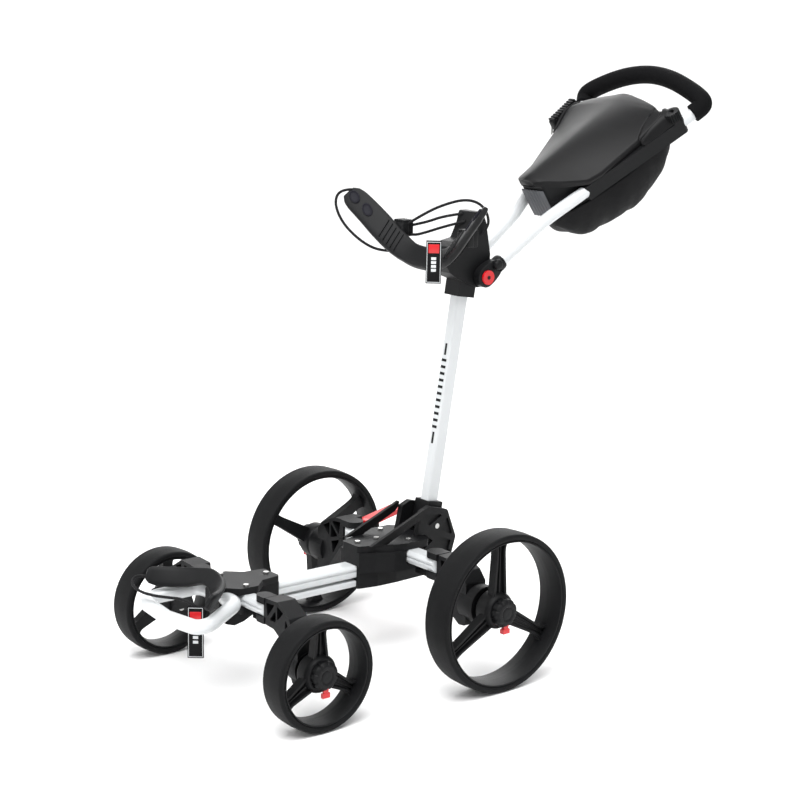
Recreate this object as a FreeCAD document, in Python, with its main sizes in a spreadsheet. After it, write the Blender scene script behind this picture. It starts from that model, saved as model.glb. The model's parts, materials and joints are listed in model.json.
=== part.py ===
import FreeCAD
import math
import os
import Part
import Sketcher
from FreeCAD import Placement, Rotation, Vector

# Golf push trolley, millimetres. X runs rearwards to the grip, Z is up, and Y = 0 is the centre plane.
# The working datum has x = 0 at the rear axle; originShift moves every piece so that the origin lies
# under the middle of the whole trolley, on the floor.

doc = FreeCAD.newDocument("golf_trolley")
sheet = doc.addObject("Spreadsheet::Sheet", "sizes")

driving = {
    "originShift": -55.6,
    "rearRadius": 146.0, "rearWidth": 59.0, "rearWheelY": 273.1, "rearAxleX": 0.0,
    "frontRadius": 99.0, "frontWidth": 52.0, "frontWheelY": 239.8, "frontAxleX": -370.0,
    "tyreWall": 13.0, "rimWall": 3.5, "axleRadius": 6.0, "axleLength": 74.0, "runFit": 0.05,
    "drumRadius": 33.0, "capRadius": 25.0, "spokeCount": 3, "spokeDepth": 16.0,
    "beamWidth": 40.0, "beamLength": 372.0, "lowerBeamLength": 260.0,
    "rearArmWidth": 34.0, "rearArmHeight": 25.0, "rearArmZ": 197.0,
    "frontArmWidth": 28.0, "frontArmHeight": 22.0, "frontArmZ": 178.0,
    "pinRadius": 4.0, "linkPinRadius": 3.0, "linkHeight": 9.0, "linkWidth": 9.0,
    "lugThickness": 12.0, "coverThickness": 13.0, "floorThickness": 12.0, "shellGap": 0.5,
    "cheekThickness": 12.0, "cheekY": 28.2, "braceThickness": 7.0,
    "mastLean": 9.1, "mastX": 59.7, "mastZ": 235.0, "mastDepth": 27.0, "mastWidth": 23.0,
    "mastLength": 436.0, "mastPinRadius": 5.0,
    "jointX": 160.0, "jointZ": 701.0, "handleLean": 35.0, "tubeRadius": 12.0, "gripRadius": 18.0,
    "jointWidth": 44.0, "knuckleWidth": 19.0, "handlePinRadius": 6.0, "capDisc": 13.5,
    "cordRadius": 2.2, "bagTubeRadius": 13.0, "pouchDepth": 100.0,
    "tabWidth": 28.0, "tabThickness": 2.8, "tabTurn": 50.0,
    "spokeRoot": 28.0, "spokeTip": 20.0, "spokeTop": 7.0, "spokeFlange": 5.0, "channelDepth": 9.0,
    "mountBore": 6.5, "mountDepth": 16.0, "pedalWidth": 34.0,
}
for row, (alias, value) in enumerate(driving.items(), start=1):
    sheet.set(f"A{row}", alias)
    sheet.set(f"B{row}", str(value))
    sheet.setAlias(f"B{row}", alias)
doc.recompute()


def size(alias):
    return float(sheet.get(alias))


def bind(piece, **expressions):
    for prop, expression in expressions.items():
        piece.setExpression(prop.replace("__", "."), expression)
    return piece


shift = size("originShift")
base = Placement(Vector(shift, 0, 0), Rotation())
mast = Placement(Vector(size("mastX") + shift, 0, size("mastZ")),
                 Rotation(Vector(0, 1, 0), size("mastLean")))
handle = Placement(Vector(size("jointX") + shift, 0, size("jointZ")),
                   Rotation(Vector(0, 1, 0), -size("handleLean")))
nodes = []


def publish(piece, label, place=base):
    piece.Label = label
    piece.Placement = place.multiply(piece.Placement)
    nodes.append(piece)
    return piece


# Round the corners of a polyline: straight runs joined by tangent arcs. corner is the arc radius,
# or None for 0.45 of the shorter run divided by the tangent of half the turn.
def roundedRoute(points, corner=None, closed=False):
    points = [Vector(*p) for p in points]
    count = len(points)
    corners = range(count) if closed else range(1, count - 1)
    arcs = {}
    for i in corners:
        before, here, after = points[i - 1], points[i], points[(i + 1) % count]
        back, ahead = before - here, after - here
        half = (math.pi - back.getAngle(ahead)) / 2
        if half < 1e-4 or corner == 0:
            continue
        limit = 0.45 * min(back.Length, ahead.Length)
        reach = limit if corner is None else min(limit, corner * math.tan(half))
        radius = reach / math.tan(half)
        start = here + back.normalize() * reach
        end = here + ahead.normalize() * reach
        bisector = (back + ahead).normalize()
        middle = here + bisector * (radius / math.cos(half) - radius)
        arcs[i] = (start, middle, end, radius)
    edges = []
    stops = list(range(count)) + ([0] if closed else [])
    for i, j in zip(stops, stops[1:]):
        start = arcs[i][2] if i in arcs else points[i]
        end = arcs[j][0] if j in arcs else points[j]
        if (end - start).Length > 1e-6:
            edges.append(Part.LineSegment(start, end).toShape())
        if j in arcs:
            edges.append(Part.Arc(*arcs[j][:3]).toShape())
    return Part.Wire(edges), [arc[3] for arc in arcs.values()]


planes = {"XZ": lambda a, b, at: (a, at, b), "YZ": lambda a, b, at: (at, a, b),
          "XY": lambda a, b, at: (a, b, at)}
normals = {"XZ": Vector(0, 1, 0), "YZ": Vector(1, 0, 0), "XY": Vector(0, 0, 1)}


def outline(name, points, plane, at=0.0, corner=0.0):
    spots = [planes[plane](a, b, at) for a, b in points]
    wire = doc.addObject("Part::Feature", name)
    wire.Shape = roundedRoute(spots, corner, closed=True)[0]
    return wire


# A flat plate or block: an outline extruded both ways from its plane to the thickness in the sheet.
def plate(name, points, thickness, plane="XZ", at=0.0, corner=0.0):
    block = doc.addObject("Part::Extrusion", name)
    block.Base = outline(name + "_outline", points, plane, at, corner)
    block.DirMode = "Custom"
    block.Dir = normals[plane]
    block.Solid = True
    block.Symmetric = True
    return bind(block, LengthFwd=str(thickness))


def box(name, low, high):
    block = doc.addObject("Part::Box", name)
    block.Placement.Base = Vector(*low)
    return bind(block, Length=f"{high[0] - low[0]}", Width=f"{high[1] - low[1]}",
                Height=f"{high[2] - low[2]}")


def rod(name, radius, length, start, direction=(0, 0, 1)):
    bar = doc.addObject("Part::Cylinder", name)
    bar.Placement = Placement(Vector(*start), Rotation(Vector(0, 0, 1), Vector(*direction)))
    return bind(bar, Radius=str(radius), Height=str(length))


def fuse(name, *pieces):
    joined = doc.addObject("Part::MultiFuse", name)
    joined.Shapes = list(pieces)
    return joined


def cut(name, piece, *tools):
    result = doc.addObject("Part::Cut", name)
    result.Base = piece
    result.Tool = tools[0] if len(tools) == 1 else fuse(name + "_tools", *tools)
    return result


def common(name, piece, other):
    result = doc.addObject("Part::Common", name)
    result.Base = piece
    result.Tool = other
    return result


def group(name, *pieces):
    kit = doc.addObject("Part::Compound", name)
    kit.Links = list(pieces)
    return kit


def loft(name, sections):
    skin = doc.addObject("Part::Loft", name)
    wires = []
    for number, points in enumerate(sections):
        wire = doc.addObject("Part::Feature", f"{name}_section{number}")
        corners = [Vector(*p) for p in points]
        wire.Shape = Part.makePolygon(corners + corners[:1])
        wires.append(wire)
    skin.Sections = wires
    skin.Solid = True
    skin.Ruled = True
    return skin


# A round bar carried along straight runs and tangent arcs; its radii are printed.
def pipe(name, points, radius, corner=None):
    spine, radii = roundedRoute(points, corner)
    heading = spine.Edges[0].tangentAt(spine.Edges[0].FirstParameter)
    ring = Part.Wire(Part.makeCircle(radius, Vector(*points[0]), heading))
    solid = spine.makePipeShell([ring], True, False)
    fill = solid.Volume / (math.pi * radius ** 2 * spine.Length)
    print(name, "length", round(spine.Length, 1), "volume share", round(fill, 3),
          "radii", [round(r, 1) for r in radii])
    piece = doc.addObject("Part::Feature", name)
    piece.Shape = solid
    return piece


def originPlane(body, role):
    return next(f for f in body.Origin.OriginFeatures if f.Role == role)


def sketchOn(body, role, points, name):
    sketch = body.newObject("Sketcher::SketchObject", name)
    sketch.AttachmentSupport = [(originPlane(body, role), "")]
    sketch.MapMode = "FlatFace"
    for (a, b), (c, d) in zip(points, points[1:] + points[:1]):
        sketch.addGeometry(Part.LineSegment(Vector(a, b, 0), Vector(c, d, 0)), False)
    last = len(points) - 1
    for i in range(len(points)):
        sketch.addConstraint(Sketcher.Constraint("Coincident", i, 2, (i + 1) % (last + 1), 1))
    return sketch


def turned(body, points, name):
    sketch = sketchOn(body, "XZ_Plane", points, name)
    feature = body.newObject("PartDesign::Revolution", name + "_turned")
    feature.Profile = sketch
    feature.ReferenceAxis = (sketch, ["V_Axis"])
    feature.Angle = 360
    return feature


# Wheels: local Z points outwards along the axle and local Y points up.
sides = {"left": 1, "right": -1}
corners = {
    "rear": {"spin": {"left": 180, "right": 0}},
    "front": {"spin": {"left": 0, "right": 0}},
}


def wheelPlace(end, side, spin=0):
    toSide = Rotation(Vector(1, 0, 0), -90 * sides[side])
    upright = 180 if side == "left" else 0
    centre = Vector(size(end + "AxleX") + shift, sides[side] * size(end + "WheelY"),
                    size(end + "Radius"))
    return Placement(centre, toSide.multiply(Rotation(Vector(0, 0, 1), upright + spin)))


def tyreBody(end, side):
    radius, half = size(end + "Radius"), size(end + "Width") / 2
    bore = radius - size("tyreWall")
    profile = [(bore, -half), (radius - 7, -half), (radius - 2.5, -half + 3), (radius - 0.8, -half / 2),
               (radius, 0), (radius - 0.8, half / 2), (radius - 2.5, half - 3), (radius - 7, half),
               (bore, half)]
    body = doc.addObject("PartDesign::Body", f"tyre_{end}_{side}_body")
    turned(body, profile, f"tyre_{end}_{side}_profile")
    return publish(body, f"tyre_{end}_{side}", wheelPlace(end, side))


def rimBody(end, side):
    outer = size(end + "Radius") - size("tyreWall")
    inner = outer - size("rimWall")
    half = size(end + "Width") / 2 - 1
    drum, cap = size("drumRadius"), size("capRadius")
    bore = size("axleRadius") + size("runFit")
    tag = f"rim_{end}_{side}"
    body = doc.addObject("PartDesign::Body", tag + "_body")
    turned(body, [(inner, -half), (outer, -half), (outer, half), (inner, half)], tag + "_ring")
    turned(body, [(bore, -half + 5), (drum - 3, -half + 5), (drum, -half + 9), (drum, 8), (drum - 4, 12),
                  (cap, 12), (cap, half - 6), (cap - 4, half - 1), (0, half - 1), (0, 17), (bore, 17)],
           tag + "_hub")
    rootHalf, tipHalf, top = size("spokeRoot") / 2, size("spokeTip") / 2, size("spokeTop")
    flange = size("spokeFlange")
    reach = outer - 2.5
    spoke = sketchOn(body, "XY_Plane", [(-rootHalf, drum - 8), (rootHalf, drum - 8), (tipHalf, reach),
                                        (-tipHalf, reach)], tag + "_spoke")
    spoke.AttachmentOffset = Placement(Vector(0, 0, top - size("spokeDepth")), Rotation())
    pad = body.newObject("PartDesign::Pad", tag + "_spoke_pad")
    pad.Profile = spoke
    bind(pad, Length="sizes.spokeDepth")
    channel = sketchOn(body, "XY_Plane", [(-rootHalf + flange, drum + 5), (rootHalf - flange, drum + 5),
                                          (tipHalf - flange, inner - 6), (-tipHalf + flange, inner - 6)],
                       tag + "_channel")
    channel.AttachmentOffset = Placement(Vector(0, 0, top), Rotation())
    pocket = body.newObject("PartDesign::Pocket", tag + "_channel_cut")
    pocket.Profile = channel
    bind(pocket, Length="sizes.channelDepth")
    pattern = body.newObject("PartDesign::PolarPattern", tag + "_spokes")
    pattern.Originals = [pad, pocket]
    pattern.Axis = (spoke, ["N_Axis"])
    pattern.Angle = 360
    bind(pattern, Occurrences="sizes.spokeCount")
    body.Tip = pattern
    return body


# The red button rides in a slot in the cap, below the axle, and is pressed up towards it.
def wheel(end, side):
    tyreBody(end, side)
    body = rimBody(end, side)
    spin = corners[end]["spin"][side]
    turn = math.radians(-spin)
    down = Vector(math.sin(turn), -math.cos(turn), 0)
    slotLow, slotHigh = 18.0, size(end + "Width") / 2 - 4
    slot = box(f"slot_{end}_{side}", (-5.3, -40, slotLow - 0.3), (5.3, -9.5, slotHigh + 0.3))
    slot.Placement = Placement(Vector(), Rotation(Vector(0, -1, 0), down)).multiply(slot.Placement)
    publish(cut(f"rim_{end}_{side}_cut", body, slot), f"rim_{end}_{side}", wheelPlace(end, side, spin))
    stem = box(f"stem_{end}_{side}", (-5, -30, slotLow), (5, -13, slotHigh))
    head = box(f"head_{end}_{side}", (-7.5, -37, slotLow - 1), (7.5, -28.5, slotHigh + 1))
    publish(fuse(f"release_{end}_{side}_fuse", stem, head), f"release_button_{end}_{side}",
            wheelPlace(end, side))


for end in corners:
    for side in sides:
        wheel(end, side)

# Folding gear: arm and link side by side, bracket kept parallel to the trolley.
gear = {
    "rear": {"inner": (-17.0, 42.0), "outer": 122.0, "link": 24.0, "linkZ": 161.0, "drum": 36.0,
             "drumLow": 205.0, "drumHigh": 244.0, "webX": (-30.0, 16.0),
             "web": [(140, 221.5), (166, 220), (206, 204), (222, 186), (222, 108), (204, 106), (186, 118),
                     (152, 160), (140, 172.5)]},
    "front": {"inner": (-380.0, 40.0), "outer": 96.0, "link": 20.0, "linkZ": 144.5, "drum": 28.0,
              "drumLow": 186.0, "drumHigh": 211.0, "webX": (-392.0, -354.0),
              "web": [(111, 201), (150, 203), (184, 182), (204, 146), (210, 124), (210, 72), (196, 72),
                      (182, 98), (164, 138), (140, 153), (111, 155)]},
}


def armPieces(end, side):
    g, s = gear[end], sides[side]
    x, y1 = g["inner"]
    y2 = g["outer"]
    half = size(end + "ArmWidth") / 2
    height, mid = size(end + "ArmHeight"), size(end + "ArmZ")
    low, high = mid - height / 2, mid + height / 2
    gap, lug = size("shellGap"), size("lugThickness")
    tag = f"{end}_{side}"
    stadium = plate(f"arm_{tag}_plan", [(x - half, s * (y1 - half)), (x + half, s * (y1 - half)),
                                        (x + half, s * (y2 + half)), (x - half, s * (y2 + half))],
                    f"sizes.{end}ArmHeight", "XY", mid, half - 0.01)
    flat = 0.3 * half
    notch = 2.5
    hexagon = plate(f"arm_{tag}_section", [
        (x - half + flat, low), (x + half - flat, low), (x + half, mid - 5), (x + half, mid - 2),
        (x + half - notch, mid), (x + half, mid + 2), (x + half, mid + 5), (x + half - flat, high),
        (x - half + flat, high), (x - half, mid + 5), (x - half, mid + 2), (x - half + notch, mid),
        (x - half, mid - 2), (x - half, mid - 5)], 600, "XZ", 0)
    bores = [rod(f"arm_{tag}_bore{n}", "sizes.pinRadius + sizes.runFit", height + 4,
                 (x, s * y, low - 2)) for n, y in enumerate((y1, y2))]
    publish(cut(f"arm_{tag}_cut", common(f"arm_{tag}_bar", stadium, hexagon), *bores), f"arm_{tag}")

    linkX, linkLow = x + g["link"], g["linkZ"] - size("linkHeight") / 2
    linkTop = linkLow + size("linkHeight")
    reach = size("linkWidth") / 2
    near, far = s * (y1 - reach), s * (y2 + reach)
    strip = plate(f"link_{tag}_strip", [(linkX - reach, near), (linkX + reach, near),
                                        (linkX + reach, far), (linkX - reach, far)],
                  "sizes.linkHeight", "XY", g["linkZ"], reach - 0.01)
    pegs = [rod(f"link_{tag}_peg{n}", "sizes.linkPinRadius", 14, (linkX, s * y, linkTop - 2))
            for n, y in enumerate((y1, y2))]
    publish(fuse(f"link_{tag}_fuse", strip, *pegs), f"link_{tag}")

    # bracket: two lugs round the arm's outer end, a ribbed web and the drum that holds the axle
    middle = sum(g["webX"]) / 2
    reachY = y2 + half + 4
    lugs = []
    for name, z in (("top", high + gap), ("low", low - gap - lug)):
        lugs.append(rod(f"lug_{name}_{tag}", half, "sizes.lugThickness", (x, s * y2, z)))
        lugs.append(plate(f"lug_{name}_bar_{tag}", [(x - half, s * y2), (x + half, s * y2),
                                                    (x + half, s * reachY), (x - half, s * reachY)],
                          "sizes.lugThickness", "XY", z + lug / 2))
    lowZ = low - gap - lug
    lugs.append(plate(f"lug_link_{tag}", [(x, s * (y2 - 8)), (linkX + 7, s * (y2 - 8)),
                                          (linkX + 7, s * reachY), (x, s * reachY)],
                      "sizes.lugThickness", "XY", lowZ + lug / 2))
    webWidth = g["webX"][1] - g["webX"][0]
    web = plate(f"web_{tag}", [(s * a, b) for a, b in g["web"]], webWidth, "YZ", middle, 4)
    ribs = []
    for n, z in enumerate(triangleRows[end]):
        ribs.append(plate(f"pocket_{tag}_{n}", [(s * a, b) for a, b in z], webWidth + 2, "YZ", middle, 1.5))
    spine = box(f"spine_{tag}", (middle - 6, min(s * 130, s * 215), 60),
                (middle + 6, max(s * 130, s * 215), 240))
    pockets = [cut(f"pocket_{tag}_{n}_two", rib, spine) for n, rib in enumerate(ribs)]
    wheelZ, axleX = size(end + "Radius"), size(end + "AxleX")
    drum = rod(f"drum_{tag}", g["drum"], g["drumHigh"] - g["drumLow"], (axleX, s * g["drumLow"], wheelZ),
               (0, s, 0))
    pin = rod(f"bracket_pin_{tag}", "sizes.pinRadius", height + 2 * gap + 8,
              (x, s * y2, low - gap - 4))
    seat = rod(f"axle_seat_{tag}", "sizes.axleRadius", 40, (axleX, s * (g["drumHigh"] - 28), wheelZ),
               (0, s, 0))
    linkSeat = rod(f"link_seat_{tag}", "sizes.linkPinRadius + 0.4", 18, (linkX, s * y2, lowZ - 4))
    solid = fuse(f"bracket_{tag}_fuse", web, drum, *lugs)
    shell = cut(f"bracket_{tag}_shell", solid, *pockets, seat, linkSeat)
    publish(fuse(f"bracket_{tag}_pinned", shell, pin), f"bracket_{tag}")
    publish(rod(f"axle_{tag}_rod", "sizes.axleRadius", size(end + "WheelY") + 15.5 - g["drumHigh"] + 28,
                (0, 0, 0)),
            f"axle_{tag}", Placement(Vector(axleX + shift, s * (g["drumHigh"] - 28), wheelZ),
                                     Rotation(Vector(0, 0, 1), Vector(0, s, 0))))


# triangular pockets moulded into both faces of each web, in (y, z)
triangleRows = {
    "rear": [[(150, 214), (176, 211), (154, 186)], [(184, 207), (204, 197), (184, 178)],
             [(180, 205), (180, 176), (158, 184)], [(152, 178), (178, 170), (172, 146)]],
    "front": [[(118, 194), (142, 196), (122, 170)], [(150, 196), (168, 188), (150, 170)],
              [(146, 166), (128, 166), (146, 188)], [(174, 180), (188, 158), (172, 152)]],
}
for end in gear:
    for side in sides:
        armPieces(end, side)

pins = []
for end, g in gear.items():
    low = size(end + "ArmZ") - size(end + "ArmHeight") / 2 - size("shellGap") - 6
    for side, s in sides.items():
        pins.append(rod(f"hub_pin_{end}_{side}", "sizes.pinRadius",
                        size(end + "ArmHeight") + 2 * size("shellGap") + 12, (g["inner"][0],
                                                                              s * g["inner"][1], low)))

# Beams.
beamHalf = size("beamWidth") / 2
beamProfile = [(-beamHalf + 3, 162), (beamHalf - 3, 162), (beamHalf, 165), (beamHalf, 172), (beamHalf - 3,
                                                                                             174.5),
               (beamHalf, 177), (beamHalf, 180), (beamHalf - 5, 185), (-beamHalf + 5, 185), (-beamHalf, 180),
               (-beamHalf, 177), (-beamHalf + 3, 174.5), (-beamHalf, 172), (-beamHalf, 165)]
beam = doc.addObject("PartDesign::Body", "main_beam_body")
beamPad = beam.newObject("PartDesign::Pad", "main_beam_pad")
beamPad.Profile = sketchOn(beam, "YZ_Plane", beamProfile, "main_beam_section")
bind(beamPad, Length="sizes.beamLength")
publish(beam, "main_beam", Placement(Vector(-404 + shift, 0, 0), Rotation()))
lower = doc.addObject("PartDesign::Body", "lower_beam_body")
lowerPad = lower.newObject("PartDesign::Pad", "lower_beam_pad")
lowerPad.Profile = sketchOn(lower, "YZ_Plane", [(-17, 145), (17, 145), (19, 148), (19, 154), (17, 157),
                                                (-17, 157),
                                                (-19, 154), (-19, 148)], "lower_beam_section")
bind(lowerPad, Length="sizes.lowerBeamLength")
publish(lower, "lower_beam", Placement(Vector(-340 + shift, 0, 0), Rotation()))


def mirrored(points):
    return points + [(x, -y) for x, y in reversed(points)]


def slab(name, halfOutline, low, high, corner=0.0):
    return plate(name, mirrored(halfOutline), high - low, "XY", (low + high) / 2, corner)


# Rear hub: two shells that clamp the beams and carry the arm and link pins.
armLow = size("rearArmZ") - size("rearArmHeight") / 2 - size("shellGap")
armHigh = size("rearArmZ") + size("rearArmHeight") / 2 + size("shellGap")
hubFloor = armLow - size("floorThickness")
hubCover = armHigh + size("coverThickness")
mainHole = box("main_beam_hole", (-420, -beamHalf, 162), (-32, beamHalf, 185))
lowerHole = box("lower_beam_hole", (-340, -19, 145), (-80, 19, 157))
linkHoles = [rod(f"rear_link_hole_{side}", "sizes.linkPinRadius + sizes.runFit", 20, (7, s * 42, 162))
             for side, s in sides.items()]
pinHoles = [rod(f"rear_pin_hole_{side}", "sizes.pinRadius", 60, (-17, s * 42, armLow - 6))
            for side, s in sides.items()]
hubLower = fuse("hub_lower_fuse",
                slab("hub_sump", [(-121, 24), (-80, 32), (-37, 33), (20, 30), (84, 26)], 142, hubFloor, 5),
                slab("hub_lower_plate", [(-121, 27), (-90, 38), (-60, 56), (-36, 60), (24, 60), (36, 34),
                                         (92, 30)],
                     hubFloor, armLow, 8))
publish(cut("hub_lower_cut", hubLower, mainHole, lowerHole, *linkHoles, *pinHoles), "rear_hub_lower")
hubUpper = fuse("hub_upper_fuse",
                slab("hub_core", [(-121, 27), (-90, 38), (-60, 56), (-35.5, 60), (-35.5, 23), (60, 23),
                                  (96, 21)],
                     armLow, armHigh, 0),
                slab("hub_upper_plate", [(-121, 24), (-90, 34), (-60, 52), (-34, 59), (16, 59), (24, 50),
                                         (26, 21.8),
                                         (30, 21.8)], armHigh, hubCover, 6))
footRoom = rod("foot_room", 19, 44, (size("mastX"), -22, size("mastZ")), (0, 1, 0))
publish(cut("hub_upper_cut", hubUpper, mainHole, *pinHoles, footRoom), "rear_hub")

# Mast cradle: two ribbed cheeks joined low down behind the mast foot.
cheekOutline = [(8, 212), (20, 268), (40, 276), (84, 264), (106, 208), (92, 163), (66, 150), (34, 160),
                (8, 184)]
cheekPockets = [[(28, 262), (74, 256), (40, 238)], [(84, 250), (98, 212), (70, 226)],
                [(62, 214), (94, 202), (84, 172)], [(26, 226), (50, 208), (24, 192)]]
cheeks = []
for side, s in sides.items():
    cheek = plate(f"cheek_{side}", cheekOutline, "sizes.cheekThickness", "XZ", s * size("cheekY"), 6)
    recesses = [plate(f"cheek_pocket_{side}_{n}", pocket, 10, "XZ", s * (size("cheekY") + 7), 2)
                for n, pocket in enumerate(cheekPockets)]
    cheeks.append(cut(f"cheek_{side}_cut", cheek, *recesses))
backWeb = plate("cradle_back", [(84, 178), (96, 176), (103, 206), (92, 210)], 2 * size("cheekY"), "XZ", 0, 1)
mastPin = rod("mast_pin_rod", "sizes.mastPinRadius", 68, (size("mastX"), -34, size("mastZ")), (0, 1, 0))
pinBore = rod("mast_pin_bore", "sizes.mastPinRadius", 80, (size("mastX"), -40, size("mastZ")), (0, 1, 0))
cradle = cut("cradle_bored", fuse("cradle_fuse", backWeb, *cheeks), pinBore)
hubClear = [box(f"hub_clear_{n}", low, high) for n, (low, high) in enumerate(
    [((0, -24, 100), (96, 24, armHigh)), ((-20, -60, hubFloor), (36, 60, armLow))])]
sump = box("sump_clear", (0, -31, 140), (84.2, 31, hubFloor))
plateClear = box("plate_clear", (-20, -35, hubFloor), (92.2, 35, armLow))
upperClear = box("upper_clear", (-20, -60, armHigh), (30.5, 60, hubCover))
publish(cut("cradle_clear", cradle, *hubClear, sump, plateClear, upperClear), "mast_cradle")
pins.append(mastPin)
publish(group("hinge_pins_group", *pins), "hinge_pins")

# Braces: two flat bars from the cradle's top down to the hub's front.
braces = []
for side, s in sides.items():
    braces.append(plate(f"brace_{side}", [(-118, 206), (-104, 224), (10, 270), (24, 276), (20, 264), (12,
                                                                                                      256),
                                          (-92, 212), (-100, 200)],
                        "sizes.braceThickness", "XZ", s * (size("cheekY") + 10), 2))
braceClear = box("brace_clear", (-121, -60, 190), (40, 60, hubCover))
publish(cut("braces_clear", group("braces_group", *braces), braceClear), "brace_bars")

# Front block.
frontLow = size("frontArmZ") - size("frontArmHeight") / 2 - size("shellGap")
frontHigh = size("frontArmZ") + size("frontArmHeight") / 2 + size("shellGap")
frontFloor = frontLow - size("floorThickness")
frontCover = frontHigh + size("floorThickness")
frontLinkHoles = [rod(f"front_link_hole_{side}", "sizes.linkPinRadius + sizes.runFit", 20, (-360, s * 40,
                                                                                            146))
                  for side, s in sides.items()]
frontPinHoles = [rod(f"front_pin_hole_{side}", "sizes.pinRadius", 60, (-380, s * 40, frontLow - 6))
                 for side, s in sides.items()]
nose = plate("front_nose", [(-424, 200), (-424, 160), (-410, 132), (-392, 126), (-372, 130), (-346, 142),
                            (-297, 142), (-297, frontLow), (-400, frontLow)], 44, "XZ", 0, 4)
block = fuse("front_block_fuse", nose,
             slab("front_core", [(-424, 21), (-297, 24)], frontLow, frontHigh, 3),
             slab("front_lower_plate", [(-402, 30), (-396, 52), (-350, 52), (-338, 26), (-297, 24)],
                  frontFloor, frontLow, 4),
             slab("front_upper_plate", [(-420, 26), (-398, 50), (-362, 52), (-338, 30), (-297, 24)],
                  frontHigh, frontCover, 6))
bagLoop = [(-412, 22, 181), (-414, 58, 180), (-507, 100, 163), (-517, 0, 160),
           (-507, -100, 163), (-414, -58, 180), (-412, -22, 181)]
bagSeat = pipe("bag_rest_seat", bagLoop, size("bagTubeRadius"), 22)
publish(cut("front_block_cut", block, bagSeat, mainHole, lowerHole, *frontLinkHoles, *frontPinHoles),
        "front_block")

# Bag rest loop in front.
bagTube = pipe("bag_rest_pipe", bagLoop, size("bagTubeRadius"), 22)
publish(bagTube, "bag_rest_tube")


# A strap-like plate through stations (centre, half width along the bag, half thickness).
def cradlePlate(name, stations, along):
    centres = [Vector(*c) for c, w, t in stations]
    sections = []
    for i, (c, w, t) in enumerate(stations):
        ahead = centres[min(i + 1, len(centres) - 1)] - centres[max(i - 1, 0)]
        face = ahead.cross(along).normalize()
        wide, thick = along * w, face * t
        corners = [centres[i] + wide + thick, centres[i] - wide + thick,
                   centres[i] - wide - thick, centres[i] + wide - thick]
        sections.append([tuple(c) for c in corners])
    return loft(name, sections)


def both(stations):
    outer = [((x, -y, z), w, t) for (x, y, z), w, t in reversed(stations)]
    return outer[:-1] + stations


bagAxis = Vector(0.63, 0, 0.776)
lowerStations = [((-428, 0, 217), 16, 7), ((-440, 45, 206), 18, 6), ((-462, 72, 203), 18, 5),
                 ((-495, 96, 208), 17, 4)]
upperStations = [((50, 0, 738), 22, 9), ((46, 55, 744), 22, 8), ((38, 100, 772), 24, 7),
                 ((28, 140, 806), 24, 6), ((14, 188, 842), 18, 5)]
lowerYokeRaw = cradlePlate("lower_yoke_loft", both(lowerStations), bagAxis)
lowerRoot = box("lower_yoke_root", (-436, -20, 201.5), (-402, 20, 214))
blockClear = box("yoke_block_clear", (-424.0, -60, 130), (-290, 60, frontCover))
publish(cut("lower_yoke_cut", fuse("lower_yoke_fuse", lowerYokeRaw, lowerRoot), blockClear), "lower_yoke")
upperYokeRaw = cradlePlate("upper_yoke_loft", both(upperStations), bagAxis)

# Mast.
mastTube = box("mast_bar", (-size("mastDepth") / 2, -size("mastWidth") / 2, 18),
               (size("mastDepth") / 2, size("mastWidth") / 2, 18 + size("mastLength")))
publish(mastTube, "mast_tube", mast)
foot = fuse("mast_foot_fuse",
            rod("mast_foot_eye", 17, 43, (0, -21.5, 0), (0, 1, 0)),
            box("mast_foot_socket", (-17, -21.5, 0), (17, 21.5, 44)))
footSocket = box("mast_socket", (-size("mastDepth") / 2, -size("mastWidth") / 2, 18),
                 (size("mastDepth") / 2, size("mastWidth") / 2, 60))
footBore = rod("mast_foot_bore", "sizes.mastPinRadius + sizes.runFit", 60, (0, -30, 0), (0, 1, 0))
publish(cut("mast_foot_cut", foot, footSocket, footBore), "mast_foot", mast)

# Upper joint: collar round the mast, side plates, slanted fin and the yoke's arm.
jointSide = [(104, 700), (86, 712), (78, 724), (78, 760), (100, 768), (122, 772), (136, 800), (142, 822),
             (162, 822), (172, 800), (184, 740), (181, 694), (172, 681), (152, 680)]
jointBody = plate("joint_body", jointSide, "sizes.jointWidth", "XZ", 0, 5)
collar = box("joint_collar", (-20, -20, 434), (20, 20, 486))
collar.Placement = Placement(Vector(size("mastX"), 0, size("mastZ")),
                             Rotation(Vector(0, 1, 0), size("mastLean"))).multiply(collar.Placement)
mastHole = box("joint_mast_hole", (-size("mastDepth") / 2, -size("mastWidth") / 2, 400),
               (size("mastDepth") / 2, size("mastWidth") / 2, 18 + size("mastLength")))
mastHole.Placement = Placement(Vector(size("mastX"), 0, size("mastZ")),
                               Rotation(Vector(0, 1, 0), size("mastLean"))).multiply(mastHole.Placement)
jointBore = rod("joint_bore", "sizes.handlePinRadius", 80, (160, -40, 701), (0, 1, 0))
joint = cut("joint_cut", fuse("joint_fuse", jointBody, collar), mastHole, jointBore)
publish(joint, "upper_joint")
publish(rod("handle_pin_rod", "sizes.handlePinRadius", 86, (0, 0, 0)), "handle_pin",
        Placement(Vector(160 + shift, -43, 701), Rotation(Vector(0, 0, 1), Vector(0, 1, 0))))
jointRoom = plate("joint_room", jointSide, 44.0, "XZ", 0, 5)
yokeArm = box("yoke_arm", (40, -22, 722), (84, 22, 758))
yokeClips = [box(f"yoke_clip_{side}", (52, min(s * 80, s * 104), 770), (78, max(s * 80, s * 104), 800))
             for side, s in sides.items()]
publish(cut("upper_yoke_cut", fuse("upper_yoke_fuse", upperYokeRaw, yokeArm, *yokeClips), jointRoom),
        "upper_yoke")

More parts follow.
